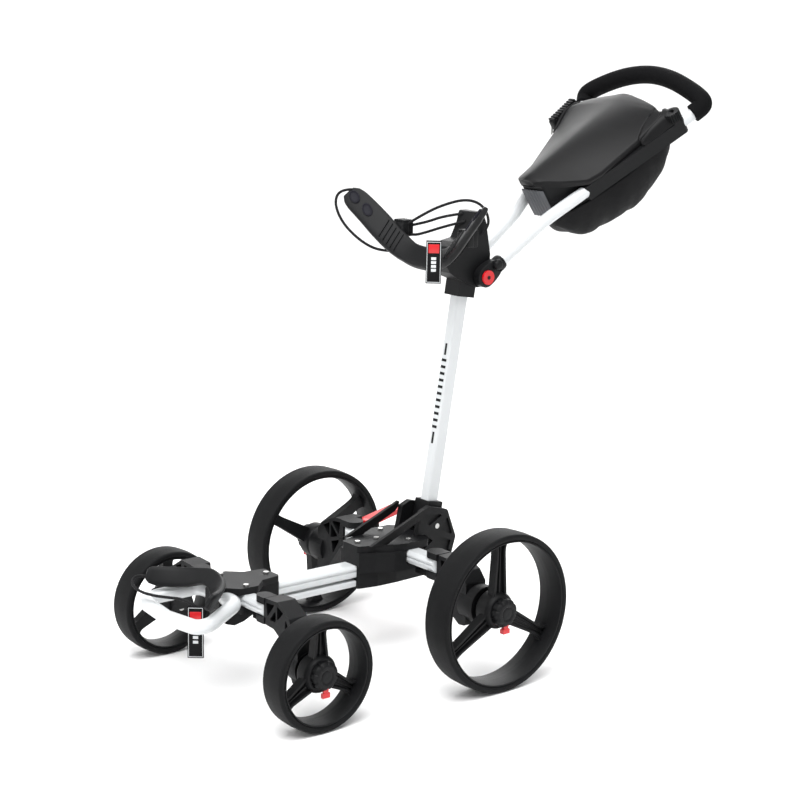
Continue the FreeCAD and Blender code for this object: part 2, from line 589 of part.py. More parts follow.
# rubber pads: two ovals on the inner face of each arm of the upper yoke
pads = []
for side, s in sides.items():
    for n, share in enumerate((0.3, 0.85)):
        start, end = Vector(38, s * 100, 772), Vector(14, s * 188, 842)
        ahead = end - start
        face = ahead.cross(bagAxis).normalize() * -s
        centre = start + ahead * share * 0.9
        pad = doc.addObject("Part::Cylinder", f"pad_{side}_{n}")
        depth = 7.6 - 2.1 * share
        pad.Placement = Placement(centre - face * (depth - 1), Rotation(Vector(0, 0, 1), face * -1))
        bind(pad, Radius="10", Height="3")
        pads.append(pad)
padGroup = group("pads_group", *pads)
publish(padGroup, "yoke_pads")

# Handle, in its own frame: X along the tubes, Z away from the pouch.
tubePath = [(33, 35, 0), (175, 45, 0), (500, 143, 0), (572, 158, 6), (582, 60, 36), (582, -60, 36),
            (572, -158, 6), (500, -143, 0), (175, -45, 0), (33, -35, 0)]
publish(pipe("handle_pipe", tubePath, size("tubeRadius"), 34), "handle_tube", handle)
tubeRoom = pipe("tube_room", tubePath, size("tubeRadius"), 34)
gripPath = [(520, 147.2, 1.7)] + tubePath[3:7] + [(520, -147.2, 1.7)]
publish(cut("grip_cut", pipe("grip_pipe", gripPath, size("gripRadius"), 34), tubeRoom), "handle_grip",
        handle)
knuckles = []
for side, s in sides.items():
    y = s * (22.4 + size("knuckleWidth") / 2 + 1.0)
    knuckle = plate(f"knuckle_{side}", [(-21, -20), (20, -21), (56, -17), (60, 15), (18, 19), (-21, 19)],
                    "sizes.knuckleWidth", "XZ", y, 12)
    boss = rod(f"knuckle_knob_{side}", 10, 8, (30, s * 39, 8), (0, s, 0))
    bore = rod(f"knuckle_bore_{side}", "sizes.handlePinRadius + sizes.runFit", 40, (0, s * 20, 0), (0, s, 0))
    knuckles.append(cut(f"knuckle_{side}_cut", fuse(f"knuckle_{side}_fuse", knuckle, boss), bore, tubeRoom))
publish(group("knuckles_group", *knuckles), "handle_knuckles", handle)
capDiscs = [rod(f"cap_disc_{side}", "sizes.capDisc", 4, (0, s * 43.1, 0), (0, s, 0)) for side,
            s in sides.items()]
publish(group("caps_group", *capDiscs), "pivot_caps", handle)


# Cross-section of the lid: half width, edge bottom, edge top, crown.
def lidSection(s, half, low, edge, crown):
    return [(s, -half, low), (s, -half, edge), (s, -half * 0.55, (edge + 2 * crown) / 3), (s, 0, crown),
            (s, half * 0.55, (edge + 2 * crown) / 3), (s, half, edge), (s, half, low)]


lidStations = [(200, 25, 26, 44, 54), (271, 90, 13, 17, 56), (400, 116, 13, 28, 58), (469, 128, 13, 38, 58),
               (507, 96, 13, 42, 50)]
lidShell = loft("lid_outer", [lidSection(*station) for station in lidStations])
lidRoom = loft("lid_inner", [lidSection(s, half - 5, low - 4, edge - 3, crown - 5) for s, half, low, edge,
                             crown in
                             [(208, 26, 26, 44, 54)] + lidStations[1:4] + [(502, 98, 13, 42, 50)]])
publish(cut("lid_cut", lidShell, lidRoom), "console_lid", handle)

# tray below the lid: a basin hung between the two tubes, with the side rails that hug them
trayOutline = [(216, 34), (271, 62), (470, 122), (504, 92)]
tray = slab("tray_outer", trayOutline, -26, 12.7, 6)
basin = slab("tray_basin", [(s + (4 if s < 300 else -4), y - 6) for s, y in trayOutline], -22, 20, 4)
rails = []
for side, s in sides.items():
    rails.append(plate(f"rail_{side}", [(262, s * 58), (262, s * 84), (484, s * 153), (494, s * 148),
                                        (490, s * 130),
                                        (300, s * 62)], 29, "XY", -1.8, 5))
publish(cut("tray_cut", fuse("tray_fuse", tray, *rails), basin, tubeRoom), "console_tray", handle)

mountRing = rod("mount_barrel", 13, "sizes.mountDepth + 6", (478, -139, 12.7))
mountHole = rod("mount_hole", "sizes.mountBore", "sizes.mountDepth", (478, -139, 12.7 + 6))
publish(cut("mount_cut", mountRing, mountHole), "umbrella_mount", handle)

# fabric pouch under the tray
pouchLevels = [(-26.5, 0.0, 1.0), (-62, 6.0, 0.97), (-100, 22.0, 0.82), (-26.5 - size("pouchDepth"), 46.0,
                                                                         0.55)]
pouchOutline = [(225, 30), (280, 60), (440, 96), (500, 84), (512, 40)]


def pouchSection(level, inset, narrow):
    middle = 372
    points = []
    for s, y in mirrored(pouchOutline):
        pull = inset if s < middle else -inset * 0.5
        points.append((s + pull, y * narrow, level))
    return points


publish(loft("pouch_loft", [pouchSection(*level) for level in pouchLevels]), "pouch", handle)

# Brake pedal on the left bracket.
pedal = plate("pedal_plate", [(34, 199), (112, 216), (110, 225), (32, 208)], "sizes.pedalWidth", "XZ",
              150, 3)
pedalArm = plate("pedal_eye", [(24, 198), (40, 200), (40, 210), (24, 210)], 16, "XZ", 150, 3)
publish(cut("pedal_cut", fuse("pedal_fuse", pedal, pedalArm),
            box("pedal_room", (0, 100, 190), (16.5, 200, 240))), "brake_pedal")

# Cords and their pull tabs.
upperRoute = [(66, 80, 794), (94, 62, 815), (123, 39, 832), (149, 13, 842), (166, -10, 836), (172, -26, 816),
              (168, -33, 794), (160, -22, 778)]
publish(pipe("upper_bungee_pipe", upperRoute, size("cordRadius")), "upper_bungee")
loopRoute = [(140.2, 10, 816), (117, 36, 810), (96, 56, 799), (80, 73, 793), (69, 85, 789), (66, 87, 778),
             (77, 75, 772), (93, 57, 779), (114, 32, 791), (137, -2, 803)]
publish(pipe("bungee_loop_pipe", loopRoute, size("cordRadius")), "bungee_loop")
tipRoute = [(16, 186, 851), (2, 206, 850), (-10, 208, 826), (-8, 186, 790), (8, 150, 758), (26, 116, 742),
            (36, 92, 744)]
publish(pipe("yoke_bungee_pipe", tipRoute, size("cordRadius")), "yoke_bungee")
lowerRoute = [(-494, 97, 204), (-508, 112, 206), (-525, 104, 198), (-528, 80, 190), (-518, 48, 187),
              (-504, 16, 189), (-490, -14, 191), (-481.6, -36, 183)]
publish(pipe("lower_bungee_pipe", lowerRoute, size("cordRadius")), "lower_bungee")


# A webbing tab that hangs from its top, turned towards the left front.
def hangingTab(label, x, y, low, high):
    reach, half = size("tabThickness") / 2, size("tabWidth") / 2
    strip = box(label + "_strip", (-reach, -half, low), (reach, half, high))
    turn = Placement(Vector(x, y, 0), Rotation(Vector(0, 0, 1), size("tabTurn")))
    strip.Placement = turn.multiply(strip.Placement)
    publish(strip, label)


hangingTab("upper_pull_tab", 11.5, -62, 704, 782)
hangingTab("lower_pull_tab", -481.6, -36, 90, 183)

# Cover screws on the hub and the front block.
screws = [rod(f"screw_{n}", 5, 3, (x, y, z)) for n, (x, y, z) in enumerate(
    [(-104, 0, hubCover), (-17, 42, hubCover), (-17, -42, hubCover), (-60, 0, hubCover),
     (-310, 0, frontCover), (-380, 40, frontCover), (-380, -40, frontCover)])]
publish(group("screws_group", *screws), "chassis_screws")

doc.recompute()
failed = [o.Name for o in doc.Objects if {"Invalid", "Error"} & set(o.State)]
broken = [n.Label for n in nodes if n.Shape.isNull() or not n.Shape.isValid()]
if failed or broken:
    raise RuntimeError(f"failed objects {failed}, broken shapes {broken}")
os.makedirs("parts", exist_ok=True)
low, high = Vector(1e9, 1e9, 1e9), Vector(-1e9, -1e9, -1e9)
for node in nodes:
    node.Shape.exportStep(f"parts/{node.Label}.step")
    bound = node.Shape.BoundBox
    low = Vector(min(low.x, bound.XMin), min(low.y, bound.YMin), min(low.z, bound.ZMin))
    high = Vector(max(high.x, bound.XMax), max(high.y, bound.YMax), max(high.z, bound.ZMax))
print(len(nodes), "nodes, box", low, high)
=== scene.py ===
import json
import math
import bmesh
import bpy
import numpy as np
from mathutils import Matrix, Vector

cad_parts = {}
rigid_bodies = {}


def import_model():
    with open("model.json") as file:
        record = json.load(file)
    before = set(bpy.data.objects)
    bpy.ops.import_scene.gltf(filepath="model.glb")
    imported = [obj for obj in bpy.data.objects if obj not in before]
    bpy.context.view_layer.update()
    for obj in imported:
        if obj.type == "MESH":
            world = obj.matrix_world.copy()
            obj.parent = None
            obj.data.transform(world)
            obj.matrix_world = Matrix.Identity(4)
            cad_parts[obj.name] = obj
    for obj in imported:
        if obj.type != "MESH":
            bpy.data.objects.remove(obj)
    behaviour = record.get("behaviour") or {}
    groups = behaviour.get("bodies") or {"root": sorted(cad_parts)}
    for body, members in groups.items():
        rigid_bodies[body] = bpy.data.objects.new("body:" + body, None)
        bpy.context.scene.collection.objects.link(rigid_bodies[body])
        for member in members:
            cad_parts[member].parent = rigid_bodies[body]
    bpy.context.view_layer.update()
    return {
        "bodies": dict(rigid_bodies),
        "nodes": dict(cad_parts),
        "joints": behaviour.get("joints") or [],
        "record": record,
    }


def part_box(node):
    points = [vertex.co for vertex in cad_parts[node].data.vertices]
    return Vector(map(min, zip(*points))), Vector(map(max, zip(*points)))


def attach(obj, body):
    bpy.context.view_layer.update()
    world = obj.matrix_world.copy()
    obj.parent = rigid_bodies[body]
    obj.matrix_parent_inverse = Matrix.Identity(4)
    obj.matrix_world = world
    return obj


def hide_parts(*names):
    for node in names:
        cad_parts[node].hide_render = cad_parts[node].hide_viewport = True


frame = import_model()
print("frame loaded:", len(frame["nodes"]), "nodes")

nodes = frame["nodes"]
ends = ("rear", "front")
sides = {"left": 1, "right": -1}
shift = -0.0556  # the part's origin lies this far behind the rear axle's datum, m
lean = math.radians(35)  # the handle's plane above the floor


def at(x, y, z):
    return Vector((x / 1000 + shift, y / 1000, z / 1000))


# Handle frame to row frame: s runs up the tubes, n away from the pouch, both in mm.
def onHandle(s, y, n):
    s, y, n = np.broadcast_arrays(np.asarray(s, float), np.asarray(y, float), np.asarray(n, float))
    x = 160 + s * math.cos(lean) - n * math.sin(lean)
    z = 701 + s * math.sin(lean) + n * math.cos(lean)
    return np.stack([x / 1000 + shift, y / 1000, z / 1000], -1)


# Socket maths: each shader value is a wrapped socket, so formulas read as plain expressions.
class Value:
    def __init__(self, shader, socket):
        self.shader = shader
        self.socket = socket

    def maths(self, operation, *others, clamp=False):
        given = {i + 1: other for i, other in enumerate(others)}
        return self.shader.node("ShaderNodeMath", {"operation": operation, "use_clamp": clamp}, {0: self, **given})[0]

    def __add__(self, other):
        return self.maths("ADD", other)

    def __radd__(self, other):
        return self.maths("ADD", other)

    def __sub__(self, other):
        return self.maths("SUBTRACT", other)

    def __rsub__(self, other):
        return self.shader.node("ShaderNodeMath", {"operation": "SUBTRACT"}, {0: other, 1: self})[0]

    def __mul__(self, other):
        return self.maths("MULTIPLY", other)

    def __rmul__(self, other):
        return self.maths("MULTIPLY", other)

    def __truediv__(self, other):
        return self.maths("DIVIDE", other)

    def __gt__(self, other):
        return self.maths("GREATER_THAN", other)

    def __lt__(self, other):
        return self.maths("LESS_THAN", other)

    def sine(self):
        return self.maths("SINE")

    def size(self):
        return self.maths("ABSOLUTE")

    def clamped(self):
        return self.maths("ADD", 0.0, clamp=True)


class Finish:
    def __init__(self, name, **fixed):
        self.material = bpy.data.materials.new(name)
        self.material.use_nodes = True
        self.tree = self.material.node_tree
        self.shader = self.tree.nodes["Principled BSDF"]
        for socket, value in fixed.items():
            self.shader.inputs[socket.replace("_", " ")].default_value = value

    def node(self, kind, settings, given):
        made = self.tree.nodes.new(kind)
        for key, value in settings.items():
            if key == "stops":
                ramp = made.color_ramp.elements
                for element, (place, colour) in zip(ramp, value):
                    element.position, element.color = place, colour
            else:
                setattr(made, key, value)
        for key, value in given.items():
            self.feed(made.inputs[key], value)
        return [Value(self, socket) for socket in made.outputs]

    def feed(self, socket, value):
        if isinstance(value, Value):
            self.tree.links.new(value.socket, socket)
        else:
            socket.default_value = value

    def place(self):
        return self.node("ShaderNodeTexCoord", {}, {})[3]

    def axes(self, vector):
        return self.node("ShaderNodeSeparateXYZ", {}, {0: vector})

    def noise(self, scale, detail=3.0, rough=0.5, vector=None):
        return self.node("ShaderNodeTexNoise", {}, {"Vector": vector or self.place(), "Scale": scale,
                                                    "Detail": detail, "Roughness": rough})[0]

    def cells(self, scale, vector=None):
        return self.node("ShaderNodeTexVoronoi", {}, {"Vector": vector or self.place(), "Scale": scale})[0]

    def mix(self, share, first, second):
        made = self.tree.nodes.new("ShaderNodeMix")
        made.data_type = "RGBA"
        self.feed(made.inputs[0], share)
        for socket, value in ((made.inputs[6], first), (made.inputs[7], second)):
            self.feed(socket, value if isinstance(value, Value) else (*value, 1.0))
        return Value(self, made.outputs[2])

    def bump(self, height, distance, strength=1.0):
        lifted = self.node("ShaderNodeBump", {}, {"Height": height, "Distance": distance, "Strength": strength})
        self.feed(self.shader.inputs["Normal"], lifted[0])

    def colour(self, value):
        self.feed(self.shader.inputs["Base Color"], value)

    def rough(self, value):
        self.feed(self.shader.inputs["Roughness"], value)


# Paint: slow orange-peel waves, a little grey dust in broad clouds, rougher where dusty.
def whitePaint():
    f = Finish("whitePaint", Coat_Roughness=0.08, Coat_Weight=0.5)
    dust = f.noise(9, 4)
    speck = f.noise(160, 2)
    f.colour(f.mix((dust - 0.45).clamped() * 1.6, (0.608, 0.627, 0.638), (0.532, 0.551, 0.562)))
    f.rough(0.26 + 0.16 * dust + 0.05 * speck)
    f.bump(f.noise(420, 2) * 0.6 + f.noise(55, 2), 0.00012)
    return f.material


# Moulded plastic: fine spark-erosion grain, long flow streaks, a slight bloom of grey.
def mouldedPlastic(name="mouldedPlastic", base=(0.0024, 0.0026, 0.0030), bloom=(0.0060, 0.0063, 0.0072),
                   rough=0.42, grain=0.00010, scale=1500):
    f = Finish(name, Specular_IOR_Level=0.20)
    cloud = f.noise(14, 5, 0.6)
    spark = f.noise(scale, 3, 0.7)
    x, y, z = f.axes(f.place())[:3]
    streak = (x * 90 + y * 60 + cloud * 9).sine() * 0.5 + 0.5
    f.colour(f.mix(cloud * 0.8 + streak * 0.15, base, bloom))
    f.rough(rough + cloud * 0.12 + spark * 0.08)
    f.bump(spark + cloud * 0.4, grain)
    return f.material


# Foam tyre: closed skin with small pits and pale scuffs on the tread.
def wheelFoam():
    f = Finish("wheelFoam", Specular_IOR_Level=0.14)
    pits = f.cells(900)
    cloud = f.noise(22, 6, 0.65)
    scuff = (f.noise(60, 6, 0.75) - 0.52).clamped() * 2.2
    f.colour(f.mix(cloud * 0.6 + scuff * 0.4, (0.0028, 0.0030, 0.0034), (0.0085, 0.0088, 0.0095)))
    f.rough(0.52 + cloud * 0.2 + scuff * 0.15)
    f.bump(pits * 0.6 + f.noise(300, 4) * 0.6 + scuff * 0.3, 0.00022)
    return f.material


# Grip foam: open fine cells, very matt, with painted shade darkening the pores.
def gripFoam():
    f = Finish("gripFoam", Specular_IOR_Level=0.08)
    poresAndShade = f.cells(1500)
    cloud = f.noise(40, 5)
    # Colour is darkest at the pore centres, where the bump sinks them: painted shade in the pores. The cloud adds
    # random tone.
    f.colour(f.mix(poresAndShade * 0.9 + cloud * 0.3, (0.0018, 0.0018, 0.0021), (0.0065, 0.0065, 0.0072)))
    f.rough(0.74 + cloud * 0.18)
    f.bump(poresAndShade + f.noise(700, 4) * 0.8, 0.00030)
    return f.material


# Red plastic: gloss with a shallow grain and slightly deeper red in clouds.
def redPlastic():
    f = Finish("redPlastic", Coat_Weight=0.25)
    cloud = f.noise(60, 4)
    f.colour(f.mix(cloud, (0.50, 0.001, 0.004), (0.62, 0.002, 0.008)))
    f.rough(0.28 + cloud * 0.14)
    f.bump(f.noise(900, 3), 0.00008)
    return f.material


# Zinc-plated steel: fine turning lines across the axis and soft tarnish.
def brightSteel():
    f = Finish("brightSteel", Metallic=1.0)
    x, y, z = f.axes(f.place())[:3]
    tarnish = f.noise(90, 4)
    f.colour(f.mix(tarnish, (0.60, 0.60, 0.58), (0.42, 0.42, 0.42)))
    f.rough(0.22 + tarnish * 0.2)
    f.bump((z * 9000 + tarnish * 8).sine() + (y * 7000).sine() * 0.5, 0.00002)
    return f.material


# Powder coat on steel: pebbled, half matt.
def blackSteel():
    f = Finish("blackSteel", Specular_IOR_Level=0.20)
    pebble = f.noise(800, 2, 0.4)
    f.colour(f.mix(f.noise(30, 4), (0.0024, 0.0024, 0.0027), (0.0060, 0.0060, 0.0066)))
    f.rough(0.42 + pebble * 0.12)
    f.bump(pebble, 0.00014)
    return f.material


# Woven polyester: warp and weft as two sine waves whose product alternates, with slow wrinkles.
def pouchFabric():
    f = Finish("pouchFabric", Specular_IOR_Level=0.16)
    x, y, z = f.axes(f.place())[:3]
    warp = ((x + z) * 5200).sine()
    weft = (y * 5200).sine()
    weave = warp * weft
    cloud = f.noise(26, 5, 0.6)
    f.colour(f.mix(cloud * 0.7 + weave * 0.12 + 0.1, (0.0018, 0.0018, 0.0022), (0.0060, 0.0062, 0.0072)))
    f.rough(0.56 + cloud * 0.2)
    f.bump(weave * 0.35 + f.noise(70, 4) * 3.0, 0.00030)
    return f.material


# Braided sleeve: two opposed helices of thread in the cord's own UV.
def elasticBraid():
    f = Finish("elasticBraid", Specular_IOR_Level=0.2)
    uv = f.node("ShaderNodeTexCoord", {}, {})[2]
    u, v = f.axes(uv)[:2]
    left = (u * 900 + v * 37.7).sine()
    right = (u * 900 - v * 37.7).sine()
    braid = left * right
    f.colour(f.mix(braid * 0.4 + 0.5, (0.0035, 0.0035, 0.0040), (0.0130, 0.0130, 0.0145)))
    f.rough(0.62 + braid * 0.1)
    f.bump(braid, 0.00022)
    return f.material


finishes = {
    "white_paint": whitePaint(),
    "white_alloy": whitePaint(),
    "black_plastic": mouldedPlastic(),
    "console_shell": mouldedPlastic("consoleShell", (0.0026, 0.0026, 0.0030), (0.0055, 0.0055, 0.0062), 0.36, 0.00006, 2200),
    "black_steel": blackSteel(),
    "bright_steel": brightSteel(),
    "wheel_foam": wheelFoam(),
    "red_plastic": redPlastic(),
    "grip_foam": gripFoam(),
    "pad_rubber": mouldedPlastic("padRubber", (0.0040, 0.0040, 0.0075), (0.0080, 0.0080, 0.0140), 0.5, 0.0001, 700),
    "pouch_fabric": pouchFabric(),
    "elastic_cord": elasticBraid(),
    "tab_webbing": pouchFabric(),
}
slotOf = {part["node"]: part["material_slot"] for part in frame["record"]["subparts"]}
for name, piece in nodes.items():
    piece.data.materials.clear()
    piece.data.materials.append(finishes[slotOf[name]])
print("finishes made")


# Surfaces: every piece is a grid of points worked out as whole arrays.
def gridFaces(rows, columns, closeRows, closeColumns, start=0):
    i = np.arange(rows if closeRows else rows - 1)
    j = np.arange(columns if closeColumns else columns - 1)
    i, j = (a.ravel() for a in np.meshgrid(i, j, indexing="ij"))
    k, m = (i + 1) % rows, (j + 1) % columns
    return start + np.stack([i * columns + j, i * columns + m, k * columns + m, k * columns + j], 1)


# Each part is (grid, closeRows, closeColumns, capped); a capped part's first and last rows are closed by one face.
def makePiece(name, parts, slotName, body, *replaced, smooth=True):
    points, faces, start = [], [], 0
    for grid, closeRows, closeColumns, capped in parts:
        rows, columns = grid.shape[:2]
        points.append(grid.reshape(-1, 3))
        faces += gridFaces(rows, columns, closeRows, closeColumns, start).tolist()
        if capped:
            faces.append(list(range(start, start + columns))[::-1])
            faces.append(list(range(start + (rows - 1) * columns, start + rows * columns)))
        start += rows * columns
    mesh = bpy.data.meshes.new(name)
    mesh.from_pydata(np.concatenate(points).tolist(), [], faces)
    mesh.validate()
    work = bmesh.new()
    work.from_mesh(mesh)
    bmesh.ops.remove_doubles(work, verts=work.verts, dist=0.00001)
    bmesh.ops.recalc_face_normals(work, faces=work.faces)
    work.to_mesh(mesh)
    work.free()
    mesh.polygons.foreach_set("use_smooth", np.full(len(mesh.polygons), smooth))
    piece = bpy.data.objects.new(name, mesh)
    bpy.context.scene.collection.objects.link(piece)
    mesh.materials.append(finishes[slotName])
    if replaced:
        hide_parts(*replaced)
    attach(piece, body)
    return piece


def sharpEdges(piece, degrees=32):
    with bpy.context.temp_override(object=piece, active_object=piece, selected_objects=[piece],
                                   selected_editable_objects=[piece]):
        bpy.ops.object.shade_smooth_by_angle(angle=math.radians(degrees))
    return piece


# A smooth curve that starts and ends on its first and last control points: uniform cubic B-spline.
def smoothCurve(controls, count):
    p = np.asarray(controls, float)
    p = np.vstack([2 * p[0] - p[1], p, 2 * p[-1] - p[-2]])
    t = np.linspace(0, len(p) - 3 - 1e-9, count)
    k = t.astype(int)
    u = (t - k)[:, None]
    w = [(1 - u) ** 3 / 6, (3 * u ** 3 - 6 * u ** 2 + 4) / 6, (-3 * u ** 3 + 3 * u ** 2 + 3 * u + 1) / 6, u ** 3 / 6]
    return sum(weight * p[k + i] for i, weight in enumerate(w))


# Carries a closed profile along a path. profile(t) gives (wide, high) for each station; the profile's
# wide axis lies along cross(reference, tangent) and its high axis completes the frame.
def carried(path, profile, reference):
    along = np.gradient(path, axis=0)
    along /= np.linalg.norm(along, axis=1)[:, None]
    wide = np.cross(np.broadcast_to(reference, along.shape), along)
    wide /= np.linalg.norm(wide, axis=1)[:, None]
    high = np.cross(along, wide)
    section = profile(np.linspace(0, 1, len(path))[:, None])
    return path[:, None] + wide[:, None] * section[0][..., None] + high[:, None] * section[1][..., None]


# Rounded rectangle of half sizes a and b as a superellipse of the given power.
def squircle(a, b, count, power=5.0):
    angle = np.linspace(0, 2 * math.pi, count, endpoint=False)
    c, s = np.cos(angle), np.sin(angle)
    return a * np.sign(c) * np.abs(c) ** (2 / power), b * np.sign(s) * np.abs(s) ** (2 / power)


# Turns a profile of (radius, offset along Y) about a wheel's axle; wave scales the radius by angle.
def turnedAboutY(profile, centre, count, wave=None):
    r, w = np.asarray(profile, float).T
    angle = np.linspace(0, 2 * math.pi, count, endpoint=False)[:, None]
    r = r[None] * np.ones_like(angle)
    if wave is not None:
        r = r * wave(angle)
    return np.stack([centre[0] + r * np.cos(angle), centre[1] + w[None] * np.ones_like(angle),
                     centre[2] + r * np.sin(angle)], -1)


# Rounds a closed polygon's corners with short arcs of points, in two dimensions.
def rounded(points, radius, steps=4):
    p = np.asarray(points, float)
    before, after = np.roll(p, 1, 0) - p, np.roll(p, -1, 0) - p
    lengthBefore, lengthAfter = (np.linalg.norm(v, axis=1)[:, None] for v in (before, after))
    reach = np.minimum(radius, 0.45 * np.minimum(lengthBefore, lengthAfter))
    start, end = p + before / lengthBefore * reach, p + after / lengthAfter * reach
    t = np.linspace(0, 1, steps)[None, :, None]
    arc = (1 - t) ** 2 * start[:, None] + 2 * t * (1 - t) * p[:, None] + t ** 2 * end[:, None]
    return arc.reshape(-1, 2)


# Block with superellipse sides and softened ends; half sizes run along the three axes, given as rows.
def roundBlock(centre, half, power=6, soft=0.0012, axes=None):
    axes = np.eye(3) if axes is None else np.asarray(axes)
    a, b, c = half
    soft = min(soft, 0.4 * min(half))
    p, q = squircle(1, 1, 32, power)
    levels = ((-c, soft), (-c + 0.3 * soft, 0.3 * soft), (-c + soft, 0), (c - soft, 0), (c - 0.3 * soft, 0.3 * soft),
              (c, soft))
    rings = [np.array(centre) + ((a - inset) * p)[:, None] * axes[0] + ((b - inset) * q)[:, None] * axes[1]
             + height * axes[2] for height, inset in levels]
    return np.array(rings), False, True, True


# Edge radius of a CAD piece, in metres: weld its loose triangles, then round its sharp edges.
def softenEdges(piece, radius, segments=2):
    weld = piece.modifiers.new("weld", "WELD")
    weld.merge_threshold = 0.00001
    bevel = piece.modifiers.new("bevel", "BEVEL")
    bevel.width, bevel.segments = radius, segments
    bevel.limit_method, bevel.angle_limit = "ANGLE", math.radians(35)
    bevel.use_clamp_overlap = True
    bevel.harden_normals = False


edgeRadius = {"rear_hub": 0.003, "rear_hub_lower": 0.003, "front_block": 0.003, "mast_cradle": 0.0018,
              "upper_joint": 0.002, "handle_knuckles": 0.002, "mast_foot": 0.002, "mast_tube": 0.004,
              "main_beam": 0.0012, "lower_beam": 0.0012, "brake_pedal": 0.002, "brace_bars": 0.001,
              "console_tray": 0.002}
for end in ends:
    for side in sides:
        edgeRadius[f"bracket_{end}_{side}"] = 0.0022
        edgeRadius[f"rim_{end}_{side}"] = 0.0012
        edgeRadius[f"arm_{end}_{side}"] = 0.0012
for name, radius in edgeRadius.items():
    softenEdges(nodes[name], radius)
print("edges softened")

# Wheels: foam tyre, ring, drum, scalloped cap and flared channel spokes.
wheelLook = {"wall": 0.013, "ringEdge": 0.0028, "ringMiddle": 0.0060, "drum": 0.0335, "cap": 0.0258,
             "lobes": 9, "spokeRoot": 0.0150, "spokeTip": 0.0085, "flare": 0.009, "spokeBack": -0.010,
             "spokeFront": 0.007, "rib": 0.0042, "channel": 0.0065}
spokeAngles = {"rear_right": 90, "front_right": 90, "front_left": 90, "rear_left": 30}


# Spoke: a channel section whose half width grows with radius and flares into the ring at its tip.
def spokeGrid(centre, side, degrees, start, stop):
    look = wheelLook
    t = np.linspace(0, 1, 26)
    reach = start + (stop - start) * t
    half = look["spokeRoot"] + (look["spokeTip"] - look["spokeRoot"]) * t + look["flare"] * t ** 14
    back, front = look["spokeBack"], look["spokeFront"]
    rib, channel = look["rib"], look["channel"]
    outline = [(-half, back), (half, back), (half, front), (half - rib, front), (half - rib - 0.0012, front - channel),
               (half * 0.12 + 0.0004, front - channel), (half * 0.08, front - channel * 0.45),
               (-half * 0.08, front - channel * 0.45), (-half * 0.12 - 0.0004, front - channel),
               (-half + rib + 0.0012, front - channel), (-half + rib, front), (-half, front)]
    sideways = np.stack([np.broadcast_to(a, half.shape) for a, b in outline], 1)
    outward = np.array([b for a, b in outline])[None] * np.ones_like(sideways)
    angle = math.radians(degrees)
    radial, tangent = np.array([math.cos(angle), 0, math.sin(angle)]), np.array([-math.sin(angle), 0, math.cos(angle)])
    return (np.array(centre) + reach[:, None, None] * radial + sideways[..., None] * tangent
            + outward[..., None] * np.array([0, side, 0]))


def makeWheel(end, side):
    look, sign = wheelLook, sides[side]
    tag = f"{end}_{side}"
    low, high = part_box(f"tyre_{tag}")
    centre = (low + high) / 2
    radius, half = (high.z - low.z) / 2, (high.y - low.y) / 2
    bore = radius - look["wall"]
    tread = rounded([(bore, -half), (radius - 0.0016, -half), (radius, 0), (radius - 0.0016, half), (bore, half)],
                    0.0062, 6)
    makePiece(f"foamTyre_{tag}", [(turnedAboutY(tread, centre, 160), True, True, False)], "wheel_foam",
              f"wheel_{tag}", f"tyre_{tag}")
    edge, middle = bore - look["ringEdge"], bore - look["ringMiddle"]
    lip = half - 0.0008
    ring = rounded([(bore, -lip), (bore, lip), (edge, lip), (middle, 0.004), (middle, -0.006), (edge, -lip)], 0.0015, 3)
    drum, cap = look["drum"], look["cap"]
    drumShape = rounded([(0.004, -half + 0.005), (drum - 0.004, -half + 0.005), (drum, -half + 0.010),
                         (drum, 0.004), (drum - 0.005, 0.012), (0.004, 0.012)], 0.002, 3)
    capTop = half - 0.001
    capShape = rounded([(0.004, 0.008), (cap, 0.008), (cap, capTop - 0.005), (cap - 0.006, capTop), (0.014, capTop),
                        (0.012, capTop - 0.0015), (0.004, capTop - 0.0015)], 0.0018, 4)
    lobes = look["lobes"]
    scallop = lambda angle: 1 - 0.085 * (1 - np.abs(np.sin(angle * lobes / 2))) ** 2.2
    button = rounded([(0.0, capTop - 0.003), (0.0105, capTop - 0.003), (0.0105, capTop - 0.001),
                      (0.0, capTop - 0.0004)], 0.0008, 3)
    outwards = lambda shape: np.asarray(shape) * (1, sign)
    parts = [(turnedAboutY(outwards(ring), centre, 144), True, True, False),
             (turnedAboutY(outwards(drumShape), centre, 72), True, True, False),
             (turnedAboutY(outwards(capShape), centre, 144, scallop), True, True, False),
             (turnedAboutY(outwards(button), centre, 48), True, True, False)]
    for turn in (0, 120, 240):
        parts.append((spokeGrid(centre, sign, spokeAngles[tag] + turn, drum - 0.006, middle + 0.001), False, True, True))
    rim = makePiece(f"spokedRim_{tag}", parts, "black_plastic", f"wheel_{tag}", f"rim_{tag}")
    sharpEdges(rim)


for end in ends:
    for side in sides:
        makeWheel(end, side)
print("wheels made")

# Grip: foam sleeve over the bent top of the handle, arched between two round corners.
gripLook = {"radius": 0.0180, "stations": 150, "around": 40,
            "half": [(517, 147.5, 1.5), (526, 152, 2.5), (536, 158.5, 5), (543, 160, 9), (549, 151, 14),
                     (556, 134, 19.5), (565, 105, 27), (574, 73, 33.5), (581, 38, 37.5), (584, 0, 39)]}


tubeLook = {"radius": 0.0120, "stations": 320, "around": 32,
            "half": [(33, 35, 0), (80, 38.3, 0), (130, 41.8, 0), (160, 44, 0), (175, 46, 0), (190, 49.8, 0), (230, 61.6, 0),
                     (300, 82.7, 0), (380, 106.8, 0), (450, 128, 0), (490, 140, 0), (517, 147.5, 1.5)]}


